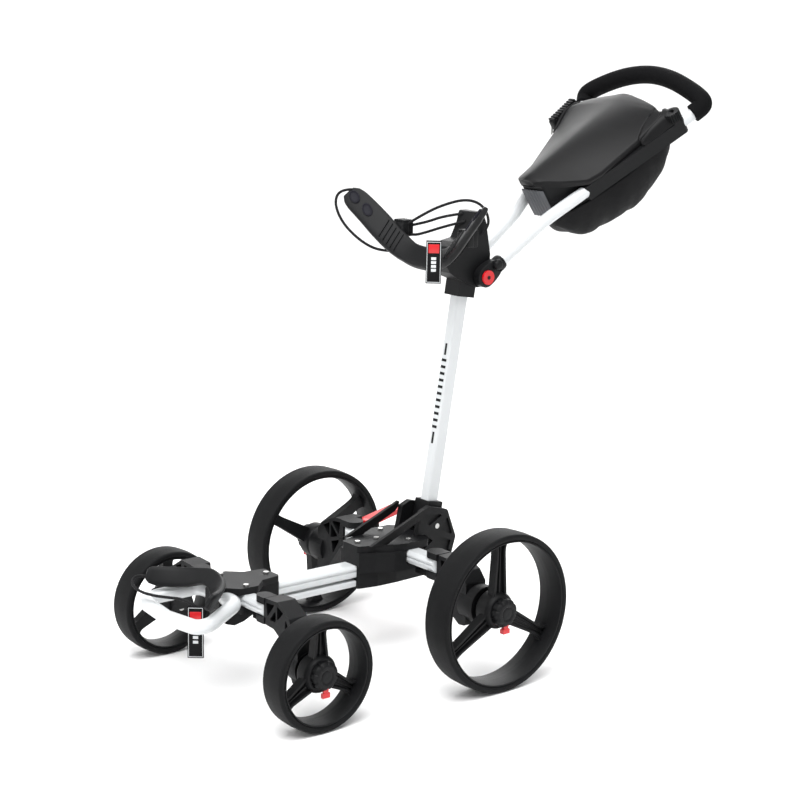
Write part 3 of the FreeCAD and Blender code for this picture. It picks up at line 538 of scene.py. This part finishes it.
# White tube: circles along the B-spline from one knuckle through the grip to the other.
def makeTube():
    look = tubeLook
    half = look["half"] + gripLook["half"][1:]
    line = smoothCurve(half + [(s, -y, n) for s, y, n in reversed(half[:-1])], look["stations"])
    angle = np.linspace(0, 2 * math.pi, look["around"], endpoint=False)[None]
    section = lambda t: (look["radius"] * np.cos(angle) + 0 * t, look["radius"] * np.sin(angle) + 0 * t)
    normal = np.array([-math.sin(lean), 0, math.cos(lean)])
    makePiece("whiteTube", [(carried(onHandle(*line.T), section, normal), False, True, True)], "white_alloy", "handle",
              "handle_tube")


# Tube of circles along the B-spline of the half path and its mirror; the radius closes in at both ends.
def makeGrip():
    look = gripLook
    controls = look["half"] + [(s, -y, n) for s, y, n in reversed(look["half"][:-1])]
    line = smoothCurve(controls, look["stations"])
    path = onHandle(*line.T)
    angle = np.linspace(0, 2 * math.pi, look["around"], endpoint=False)

    def section(t):
        fromEnd = np.minimum(t, 1 - t) * 430 / 4.5
        size = look["radius"] * (0.72 + 0.28 * np.sqrt(np.clip(1 - (1 - np.clip(fromEnd, 0, 1)) ** 2, 0, 1)))
        return size * np.cos(angle), size * np.sin(angle)

    normal = np.array([-math.sin(lean), 0, math.cos(lean)])
    grip = makePiece("foamGrip", [(carried(path, section, normal), False, True, True)], "grip_foam", "handle",
                     "handle_grip")


makeTube()
makeGrip()

# Console lid: crowned shield, split by a seam into the lid and two upper corner pieces.
lidLook = {"stations": (202, 206, 216, 236, 271, 300, 400, 455, 468, 483, 497, 505),
           "width": (16, 26, 38, 60, 88, 97, 117, 128, 124, 95, 52, 16),
           "crown": (69, 71, 71, 69.5, 67, 65, 58, 54, 53, 52, 50.5, 49),
           "edge": (62, 62, 58, 44, 23, 20, 27, 37, 40, 43, 45, 46),
           "bottom": (53, 51, 44, 30, 13.5, 13, 13, 13, 14, 18, 22, 24), "rows": 250, "columns": 180,
           "seam": ((386, 122), (404, 113), (425, 108), (446, 106), (470, 104), (500, 100)), "groove": 1.3}


# Height of the lid's top over its outline: edge + (crown - edge) * (1 - ((v^2 + e)^0.75 - e^0.75) / f), a soft
# ridge over the middle, less the seam's groove and a small step beyond it.
def makeLid():
    look = lidLook
    s = np.linspace(look["stations"][0], look["stations"][-1], look["rows"])
    soft = np.hanning(15) / np.hanning(15).sum()
    track = lambda key: np.convolve(np.pad(np.interp(s, look["stations"], look[key]), 7, "edge"), soft, "valid")
    width, crown, edge, bottom = (track(key)[:, None] for key in ("width", "crown", "edge", "bottom"))
    v = np.sin(np.linspace(-1, 1, look["columns"]) * math.pi / 2)[None]
    y = width * v
    ridge = ((v ** 2 + 0.004) ** 0.78 - 0.004 ** 0.78) / (1.004 ** 0.78 - 0.004 ** 0.78)
    top = edge + (crown - edge) * (1 - ridge)
    seamS, seamY = np.asarray(look["seam"], float).T
    seamAt = np.interp(s, seamS, seamY, left=999, right=999)[:, None]
    away = np.abs(np.abs(y) - seamAt)
    beyond = np.clip((np.abs(y) - seamAt) / 1.5, 0, 1)
    top = top - 2.6 * np.clip(1 - away / look["groove"], 0, 1) - 1.2 * beyond
    shoulder = 3.0 * np.clip((np.abs(v) - 0.965) / 0.035, 0, 1) ** 2
    top = top - shoulder
    below = np.linspace(1, 0, 5)[None, 1:]
    skirt = lambda sign: (sign * (width - 1.2 * (1 - below)), bottom + (top[:, :1] - bottom) * below)
    rightY, rightN = skirt(1)
    leftY, leftN = skirt(-1)
    innerY = width * 0.96 * np.linspace(1, -1, 24)[None]
    innerN = bottom + np.clip(top.min(1, keepdims=True) - bottom - 4, 0, None) * (1 - (innerY / width) ** 6)
    acrossY = np.concatenate([y, rightY, innerY, leftY[:, ::-1]], 1)
    acrossN = np.concatenate([top, rightN, innerN, leftN[:, ::-1]], 1)
    grid = onHandle(s[:, None], acrossY, acrossN)
    sharpEdges(makePiece("consoleShield", [(grid, False, True, True)], "console_shell", "lid", "console_lid"), 40)


makeLid()
print("grip and lid made")

# Pouch: a fabric bowl under the tray, deepest at its front, with a bound rim.
pouchLook = {"stations": (212, 220, 232, 250, 271, 310, 360, 408, 442, 470, 490, 506, 513),
             "width": (12, 30, 44, 56, 66, 82, 97, 106, 108, 104, 96, 78, 52),
             "depth": (20, 38, 56, 72, 82, 91, 96, 94, 80, 60, 42, 26, 14), "top": -27, "rows": 150, "columns": 110}


# Underside depth over the outline: depth(s) * (1 - |v|^3.6)^0.5, with soft folds running down the sides.
def makePouch():
    look = pouchLook
    s = np.linspace(look["stations"][0], look["stations"][-1], look["rows"])
    soft = np.hanning(13) / np.hanning(13).sum()
    track = lambda key: np.convolve(np.pad(np.interp(s, look["stations"], look[key]), 6, "edge"), soft, "valid")
    width, depth = track("width")[:, None], track("depth")[:, None]
    v = np.sin(np.linspace(-1, 1, look["columns"]) * math.pi / 2)[None]
    hang = depth * np.clip(1 - np.abs(v) ** 3.6, 0, 1) ** 0.5
    fold = (np.sin(s[:, None] * 0.11 + 3 * v) * 1.7 + np.sin(s[:, None] * 0.047 - 5 * v) * 2.4
            + np.sin(s[:, None] * 0.23 + 9 * v) * 0.6)
    bulge = fold * (1 - v ** 2) ** 0.25 * np.clip(hang / 30, 0, 1)
    n = look["top"] - hang - bulge * 0.8
    y = (width + bulge * 0.5) * v
    flatY = width * np.linspace(1, -1, 30)[None, 1:-1]
    grid = onHandle(s[:, None], np.concatenate([y, flatY], 1),
                    np.concatenate([n, np.full_like(flatY, look["top"])], 1))
    makePiece("fabricPouch", [(grid, False, True, True)], "pouch_fabric", "handle", "pouch")


makePouch()

# Bag yokes: crescents carried along a curve, their width along the bag.
bagAxis = np.array([0.63, 0, 0.776])
yokeLook = {"upper": {"half": [(50, 0, 738), (49, 26, 739), (46, 55, 745), (38, 100, 772), (28, 140, 806),
                               (19, 170, 829), (15, 184, 839), (12.5, 192, 845)],
                      "width": (22, 22, 21, 24, 25, 24, 23, 20, 13), "thick": (9.5, 9, 8.5, 8, 7.5, 7, 6.5, 6, 4.5)},
            "lower": {"half": [(-428, 0, 217), (-432, 24, 212), (-440, 45, 206), (-462, 72, 203), (-482, 88, 205),
                               (-492, 95, 207.5), (-497, 98, 209)],
                      "width": (16, 16, 18, 18, 17.5, 15, 9), "thick": (7, 6.5, 6.5, 6, 5.5, 5, 3.5)}}


def makeYoke(name, key, body, node, extra=()):
    look = yokeLook[key]
    controls = look["half"][:0:-1]
    controls = [(x, -y, z) for x, y, z in controls] + look["half"]
    line = smoothCurve(controls, 120)
    path = np.stack([line[:, 0] / 1000 + shift, line[:, 1] / 1000, line[:, 2] / 1000], 1)

    def section(t):
        share = np.abs(2 * t - 1) * (len(look["width"]) - 1)
        steps = np.arange(len(look["width"]))
        width, thick = np.interp(share, steps, look["width"]) / 1000, np.interp(share, steps, look["thick"]) / 1000
        a, b = squircle(1, 1, 36, 4.0)
        return thick * a[None], width * b[None]

    parts = [(carried(path, section, bagAxis), False, True, True)] + list(extra)
    return sharpEdges(makePiece(name, parts, "black_plastic", body, node), 50)

makeYoke("upperYoke", "upper", "mast", "upper_yoke",
         [roundBlock(at(66, y, 786), (0.0125, 0.0020, 0.0155), 6) for side in (-1, 1)
          for y in (side * 80, side * 86, side * 92, side * 98, side * 104)]
         + [roundBlock(at(60, side * 92, 784), (0.0090, 0.0150, 0.0125), 6) for side in (-1, 1)])
makeYoke("lowerYoke", "lower", "chassis", "lower_yoke")

# Oval pads: a raised rim round a dished face, lying on the yoke's bag side.
padLook = {"places": (0.10, 0.90, 0.19, 0.81), "half": (0.0135, 0.0105), "rise": 0.0024, "offset": 0.0066,
           "steps": 44, "ribs": (0.262, 0.278, 0.294, 0.310, 0.326)}


def makePads():
    look = padLook
    parts = []
    line = smoothCurve([(x, -y, z) for x, y, z in yokeLook["upper"]["half"][:0:-1]] + yokeLook["upper"]["half"], 200)
    for share in look["places"]:
        k = int(share * 199)
        centre = np.array([line[k, 0] / 1000 + shift, line[k, 1] / 1000, line[k, 2] / 1000])
        along = line[k + 1] - line[k - 1]
        along /= np.linalg.norm(along)
        face = np.cross(along, bagAxis)
        face /= np.linalg.norm(face)
        face *= -np.sign(face[0])
        angle = np.linspace(0, 2 * math.pi, look["steps"], endpoint=False)
        rim = centre + face * look["offset"]
        rings = []
        for scale, height in ((1.0, -0.001), (1.0, 0.6), (0.96, 1.0), (0.86, 1.0), (0.80, 0.55), (0.55, 0.35),
                              (0.2, 0.30)):
            lift = height * look["rise"] if height > 0 else -0.004
            rings.append(rim + face * lift + scale * (look["half"][0] * np.cos(angle)[:, None] * along
                                                      + look["half"][1] * np.sin(angle)[:, None] * bagAxis))
        parts.append((np.array(rings), False, True, True))
    makePiece("ovalPads", parts, "pad_rubber", "mast", "yoke_pads")
    ribs = []
    for share in look["ribs"] + tuple(1 - share for share in look["ribs"]):
        k = int(share * 199)
        centre = np.array([line[k, 0] / 1000 + shift, line[k, 1] / 1000, line[k, 2] / 1000])
        along = line[k + 1] - line[k - 1]
        along /= np.linalg.norm(along)
        face = np.cross(along, bagAxis)
        ribs.append(roundBlock(centre, (0.0105, 0.0012, 0.0190), 8, 0.0006,
                               np.array([face / np.linalg.norm(face), along, bagAxis / np.linalg.norm(bagAxis)])))
    sharpEdges(makePiece("yokeRibs", ribs, "black_plastic", "mast"), 40)


makePads()
print("pouch and yokes made")

# Cords: one NURBS line each, along the same points as the solid's route.
cordLook = {"radius": 0.0026, "resolution": 14,
            "upper_bungee": ("mast", 0.2147, [(66, 80, 794), (94, 62, 815), (123, 39, 832), (149, 13, 842), (166, -10, 836),
                                              (172, -26, 816), (168, -33, 794), (160, -22, 778)]),
            "bungee_loop": ("mast", 0.2351, [(140.2, 10, 816), (117, 36, 810), (96, 56, 799), (80, 73, 793), (69, 85, 789),
                                             (66, 87, 778), (77, 75, 772), (93, 57, 779), (114, 32, 791),
                                             (137, -2, 803)]),
            "yoke_bungee": ("mast", 0.2068, [(16, 186, 851), (2, 206, 850), (-10, 208, 826), (-8, 186, 790), (8, 150, 758),
                                             (26, 116, 742), (36, 92, 744)]),
            "lower_bungee": ("chassis", 0.1882, [(-494, 97, 204), (-508, 112, 206), (-525, 104, 198), (-528, 80, 190),
                                                 (-518, 48, 187), (-504, 16, 189), (-490, -14, 191),
                                                 (-481.6, -36, 183)])}


def makeCord(name):
    body, length, route = cordLook[name]
    line = bpy.data.curves.new(name + "Line", "CURVE")
    line.dimensions, line.bevel_depth, line.bevel_resolution = "3D", cordLook["radius"], 5
    line.use_fill_caps = True
    spline = line.splines.new("NURBS")
    spline.points.add(len(route) - 1)
    for point, place in zip(spline.points, route):
        point.co = (*at(*place), 1)
    spline.order_u, spline.use_endpoint_u, spline.resolution_u = 3, True, cordLook["resolution"]
    line.materials.append(finishes["elastic_cord"])
    cord = bpy.data.objects.new(name + "Cord", line)
    bpy.context.scene.collection.objects.link(cord)
    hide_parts(name)
    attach(cord, body)
    tuple(at(*route[0]))
    2 * cordLook["radius"]


# Webbing tabs: a folded strip with a stitched border and a plain red patch.
tabLook = {"thick": 0.0014, "half": 0.0140, "turn": math.radians(50),
           "upper_pull_tab": ("mast", 11.5, -62, 704, 782), "lower_pull_tab": ("chassis", -481.6, -36, 90, 183)}


def makeTab(name):
    look = tabLook
    body, x, y, low, high = look[name]
    tall = (high - low) / 2000
    centre = np.array(at(x, y, (low + high) / 2))
    turn = look["turn"]
    axes = np.array([[math.cos(turn), math.sin(turn), 0], [-math.sin(turn), math.cos(turn), 0], [0, 0, 1]])
    block = lambda side, up, thick, wide, high: roundBlock(centre + side * axes[1] + up * axes[2],
                                                           (thick, wide, high), 10, 0.0003, axes)
    thick, half = look["thick"], look["half"]
    piece = makePiece(name + "Strap", [block(0, 0, thick, half, tall)], "tab_webbing", body, name)
    lip, edge = thick + 0.0003, 0.0005
    frame = [block(0, tall - 0.0030, lip, half - 0.0014, edge), block(0, -tall + 0.0024, lip, half - 0.0014, edge),
             block(half - 0.0019, -0.0003, lip, edge, tall - 0.0027),
             block(-half + 0.0019, -0.0003, lip, edge, tall - 0.0027)]
    border = makePiece(name + "Border", frame, "white_paint", body)
    marks = [block(0, tall * share, lip, 0.0046, 0.0026) for share in (0.16, -0.02, -0.20, -0.38)]
    marks = makePiece(name + "Marks", marks, "white_paint", body)
    patch = makePiece(name + "Patch", [block(0, tall * 0.62, lip + 0.0002, half - 0.0042, 0.0080)], "red_plastic", body)


makeTab("upper_pull_tab")
makeTab("lower_pull_tab")
makeCord("upper_bungee")
makeCord("bungee_loop")
makeCord("yoke_bungee")
makeCord("lower_bungee")
print("cords and tabs made")

# Umbrella socket's serrated collar, the red latch tips, the far rail's ratchet block and its steel pin.
fittingLook = {"collarRadius": 0.0150, "teeth": 22, "bore": 0.0075, "low": 17, "high": 35}


def handleFrame(s, y, n):
    place = onHandle(s, y, n)
    return place, np.array([[math.cos(lean), 0, math.sin(lean)], [0, 1, 0], [-math.sin(lean), 0, math.cos(lean)]])


# Collar: radius wavers by a tooth form, clipped sine, round a clear bore.
def collarGrid(s, y):
    look = fittingLook
    place, axes = handleFrame(s, y, 0)
    angle = np.linspace(0, 2 * math.pi, look["teeth"] * 8, endpoint=False)[:, None]
    tooth = 0.0012 * np.clip(1.6 * np.sin(angle * look["teeth"]), -1, 1)
    radius = np.array([look["bore"], look["collarRadius"], look["collarRadius"], look["bore"]])[None]
    toothed = np.array([0, 1, 1, 0])[None]
    height = np.array([look["low"], look["low"], look["high"], look["high"]])[None] / 1000
    r = radius + tooth * toothed
    return (place + (r * np.cos(angle))[..., None] * axes[0] + (r * np.sin(angle))[..., None] * axes[1]
            + (height * np.ones_like(r))[..., None] * axes[2])


sharpEdges(makePiece("umbrellaCollar", [(collarGrid(478, -139), True, True, False)], "black_plastic", "handle"))


def handleBlock(s, y, n, half, power=6, soft=0.0012):
    place, axes = handleFrame(s, y, n)
    return roundBlock(place, half, power, soft, axes)


# Corner piece beside the lid: its inner top edge follows the lid's side and its outer one the rail's.
def cornerGrid(side):
    s = np.linspace(398, 489, 40)[:, None]
    inner = np.interp(s, (398, 430, 455, 470, 489), (119, 124, 128, 122, 112))
    outer = np.interp(s, (398, 440, 480, 489), (126, 139, 150, 146))
    top = np.interp(s, (398, 430, 455, 480, 489), (24, 33, 38, 38, 33))
    outline = ((inner, 13 + 0 * s), (inner, top), (inner + 3, top + 1), (outer - 7, top - 8), (outer, 15 + 0 * s),
               (outer, 13 + 0 * s))
    y = np.concatenate([side * a for a, b in outline], 1)
    n = np.concatenate([b for a, b in outline], 1)
    return onHandle(s, y, n)


ratchet = [handleBlock(458, 143, 22, (0.038, 0.0095, 0.010))]
ratchet += [handleBlock(426 + 7.2 * k, 143, 33, (0.0024, 0.0088, 0.0036), 6, 0.0008) for k in range(10)]
sharpEdges(makePiece("ratchetBlock", ratchet, "black_plastic", "handle"))
makePiece("cornerPieces", [(cornerGrid(side), False, True, True) for side in (-1, 1)], "console_shell", "handle")
tips = [handleBlock(490, side * 137, 24, (0.0026, 0.0060, 0.0050)) for side in (-1, 1)]
makePiece("latchTips", tips, "red_plastic", "handle")
pinPath = np.linspace(onHandle(416, 154, 2), onHandle(440, 154, 34), 24)
pinAngle = np.linspace(0, 2 * math.pi, 20, endpoint=False)[None]
pinShape = lambda t: (0.0021 * np.cos(pinAngle) * np.sqrt(np.clip(1 - np.abs(2 * t - 1) ** 14, 0.1, 1)),
                      0.0021 * np.sin(pinAngle) * np.sqrt(np.clip(1 - np.abs(2 * t - 1) ** 14, 0.1, 1)))
makePiece("steelPin", [(carried(pinPath, pinShape, np.array([0, 1, 0])), False, True, True)], "bright_steel", "handle")
print("handle fittings made")

# Front of the tray: a low wall under the lid's nose, and a folded mesh panel below it.
frontLook = {"outline": ((271, 63), (240, 47), (213, 31), (210, 27)), "foot": 6.0, "head": ((205, 50), (240, 33), (271, 16)),
             "wall": 2.4, "panel": (30, -25, 40), "folds": 7, "fold": 0.9, "thick": 1.2}


def makeFront():
    look = frontLook
    corners = np.array([(s, -y) for s, y in look["outline"]] + [(s, y) for s, y in look["outline"][::-1]], float)
    line = np.stack([np.interp(np.linspace(0, 7, 85), range(8), corners[:, k]) for k in (0, 1)], 1)
    head = np.interp(line[:, 0], *zip(*look["head"]))
    out = np.stack([np.full(len(line), -1.0), np.sign(line[:, 1]) * 0.0], 1) * look["wall"]
    columns = [(line, np.full(len(line), look["foot"])), (line, head), (line - out, head),
               (line - out, np.full(len(line), look["foot"]))]
    wall = np.stack([onHandle(place[:, 0], place[:, 1], n) for place, n in columns], 1)
    sharpEdges(makePiece("trayFront", [(wall, False, True, True)], "black_plastic", "handle"), 30)
    reach, low, high = look["panel"]
    y = np.linspace(-reach, reach, 120)
    bulge = 209 - 1.4 - look["fold"] * np.sin(math.pi * look["folds"] * y / reach) * np.cos(0.5 * math.pi * y / reach)
    loops = [np.stack([onHandle(bulge - depth, y, n) for depth, n in
                       ((0, low), (look["thick"], low + 1), (look["thick"] + 0.6, 0.5 * (low + high)),
                        (look["thick"], high - 1), (0, high))], 1)]
    panel = makePiece("meshPanel", [(loops[0], False, True, True)], "pouch_fabric", "handle")
    panel.data.materials[0] = Finish("meshPanel", Base_Color=(0.075, 0.078, 0.085, 1), Roughness=0.75).material


makeFront()
print("tray front made")

# Knuckles: a round eye over the pivot that runs into a collar round the tube, with the clamp knob outside it.
knuckleLook = {"inner": 0.0234, "outer": 0.0424, "outline": [(-20, 0), (-17.5, -10.5), (-10, -17.8), (0, -20.4), (12, -20),
                                                              (26, -18), (38, -14), (42, 0), (38, 13.5), (26, 17.5),
                                                              (12, 19.7), (0, 20.2), (-10, 17.4), (-17.5, 10)],
               "levels": ((0.0, 0.90), (0.0018, 1.0), (0.0172, 1.0), (0.0190, 0.90))}


def makeKnuckles():
    look = knuckleLook
    outline = smoothLoop(look["outline"], 96)
    parts = []
    for side in (-1, 1):
        rings = []
        for depth, scale in look["levels"]:
            loop = outline * scale + (1 - scale) * np.array([16, 0])
            rings.append(onHandle(loop[:, 0], side * 1000 * (look["inner"] + depth), loop[:, 1]))
        parts.append((np.array(rings), False, True, True))
        knob = []
        angle = np.linspace(0, 2 * math.pi, 60, endpoint=False)
        for out, radius in ((40, 7.0), (43, 9.4), (46, 10.0), (50, 9.6), (52.5, 7.5), (53.3, 4.0)):
            wave = 1 + 0.035 * np.cos(angle * 9)
            knob.append(onHandle(31 + radius * wave * np.cos(angle), side * out, 6 + radius * wave * np.sin(angle)))
        parts.append((np.array(knob), False, True, True))
        along = np.linspace(33, 48, 30)
        sleeve = onHandle(along, side * np.interp(along, (33, 175), (35.0, 45.0)), 0)
        wide, high = squircle(0.0146, 0.0146, 48, 2.4)
        taper = lambda s: 1 - 0.10 * s ** 6
        parts.append((carried(sleeve, lambda s: (wide[None] * taper(s), high[None] * taper(s)),
                              np.array([-math.sin(lean), 0, math.cos(lean)])), False, True, True))
    sharpEdges(makePiece("knuckleEyes", parts, "black_plastic", "handle", "handle_knuckles"), 45)
    sockets = []
    for side in (-1, 1):
        turn = np.linspace(0, 2 * math.pi, 7)[:-1]
        hexagon = [onHandle(4.2 * np.cos(turn), side * out, 4.2 * np.sin(turn)) for out in (46.2, 47.5)]
        sockets.append((np.array(hexagon), False, True, True))
    makePiece("hexSockets", sockets, "black_steel", "handle", smooth=False)


# A closed B-spline through a ring of control points, in two dimensions.
def smoothLoop(controls, count):
    p = np.asarray(controls, float)
    t = np.linspace(0, len(p), count, endpoint=False)
    k = t.astype(int)
    u = (t - k)[:, None]
    w = [(1 - u) ** 3 / 6, (3 * u ** 3 - 6 * u ** 2 + 4) / 6, (-3 * u ** 3 + 3 * u ** 2 + 3 * u + 1) / 6, u ** 3 / 6]
    return sum(weight * p[(k + i - 1) % len(p)] for i, weight in enumerate(w))


makeKnuckles()

# Mast marks: two bars and a row of short dashes on the mast's front face, 0.2 mm proud.
markLook = {"face": -13.6, "half": (0.0003, 0.0027), "bars": ((163, 11), (332, 11)), "dashes": (184, 311, 11)}


def makeMarks():
    look = markLook
    tilt = math.radians(9.1)
    axes = np.array([[math.cos(tilt), 0, -math.sin(tilt)], [0, 1, 0], [math.sin(tilt), 0, math.cos(tilt)]])
    root = np.array(at(59.7, 0, 235))
    start, stop, count = look["dashes"]
    rows = list(look["bars"]) + [(z, 2.6) for z in np.linspace(start, stop, count)]
    blocks = [roundBlock(root + look["face"] / 1000 * axes[0] + z / 1000 * axes[2],
                         (look["half"][0], look["half"][1] if half > 5 else 0.0065, half / 1000), 12, 0.0001, axes)
              for z, half in rows]
    makePiece("mastMarks", blocks, "black_plastic", "mast", smooth=False)


makeMarks()
print("knuckles and marks made")

# Stage, light and camera. Colours are shown without a film curve.
bpy.context.scene.view_settings.view_transform = "Standard"
stage = {"floor": 1500.0, "key": 700, "fill": 330, "rim": 560, "world": 0.55, "sun": 2.1}
bpy.ops.mesh.primitive_plane_add(size=stage["floor"], location=(0, 0, 0))
floor = bpy.context.object
floor.name = "studioFloor"
paper = Finish("studioPaper", Base_Color=(0.93, 0.93, 0.93, 1), Roughness=0.9, Specular_IOR_Level=0.1)
floor.data.materials.append(paper.material)
bpy.ops.mesh.primitive_plane_add(size=900, location=(420, 520, 0), rotation=(math.radians(90), 0, math.radians(-39)))
wall = bpy.context.object
wall.name = "studioWall"
glow = Finish("studioGlow", Base_Color=(0.9, 0.9, 0.9, 1), Emission_Color=(1, 1, 1, 1), Emission_Strength=1.0)
wall.data.materials.append(glow.material)
world = bpy.data.worlds.new("studioWorld")
bpy.context.scene.world = world
world.use_nodes = True
world.node_tree.nodes["Background"].inputs[0].default_value = (1, 1, 1, 1)
world.node_tree.nodes["Background"].inputs[1].default_value = stage["world"]


def softBox(name, place, aim, width, power):
    lamp = bpy.data.lights.new(name, "AREA")
    lamp.shape, lamp.size, lamp.energy = "SQUARE", width, power
    holder = bpy.data.objects.new(name, lamp)
    bpy.context.scene.collection.objects.link(holder)
    holder.location = place
    holder.rotation_euler = (Vector(aim) - Vector(place)).to_track_quat("-Z", "Y").to_euler()
    return holder


sun = bpy.data.lights.new("overhead", "SUN")
sun.energy, sun.angle = stage["sun"], math.radians(50)
sunHolder = bpy.data.objects.new("overhead", sun)
bpy.context.scene.collection.objects.link(sunHolder)
sunHolder.rotation_euler = (math.radians(14), math.radians(-10), 0)
softBox("keyLight", (-1.6, -1.2, 3.4), (0, 0, 0.4), 2.4, stage["key"] * 0.12)
softBox("fillLight", (-3.2, 1.8, 2.2), (0, 0, 0.5), 2.6, stage["fill"] * 0.12)
softBox("rimLight", (2.6, 2.2, 2.8), (0.2, 0, 0.6), 2.0, stage["rim"] * 0.12)

viewer = {"place": (-2134.892, -2597.334, 1206.139), "yaw": 0.885, "pitch": -0.213, "roll": 0.020, "lens": 83.6}
yaw, pitch, roll = viewer["yaw"], viewer["pitch"], viewer["roll"]
ahead = Vector((math.cos(yaw) * math.cos(pitch), math.sin(yaw) * math.cos(pitch), math.sin(pitch)))
level = Vector((math.sin(yaw), -math.cos(yaw), 0))
upward = level.cross(ahead)
across = level * math.cos(roll) + upward * math.sin(roll)
upright = upward * math.cos(roll) - level * math.sin(roll)
lensData = bpy.data.cameras.new("viewer")
lensData.lens, lensData.sensor_width = viewer["lens"], 36
camera = bpy.data.objects.new("viewer", lensData)
bpy.context.scene.collection.objects.link(camera)
camera.matrix_world = Matrix((across, upright, -ahead)).transposed().to_4x4()
camera.location = at(*viewer["place"])
bpy.context.scene.camera = camera
print("stage and camera set")
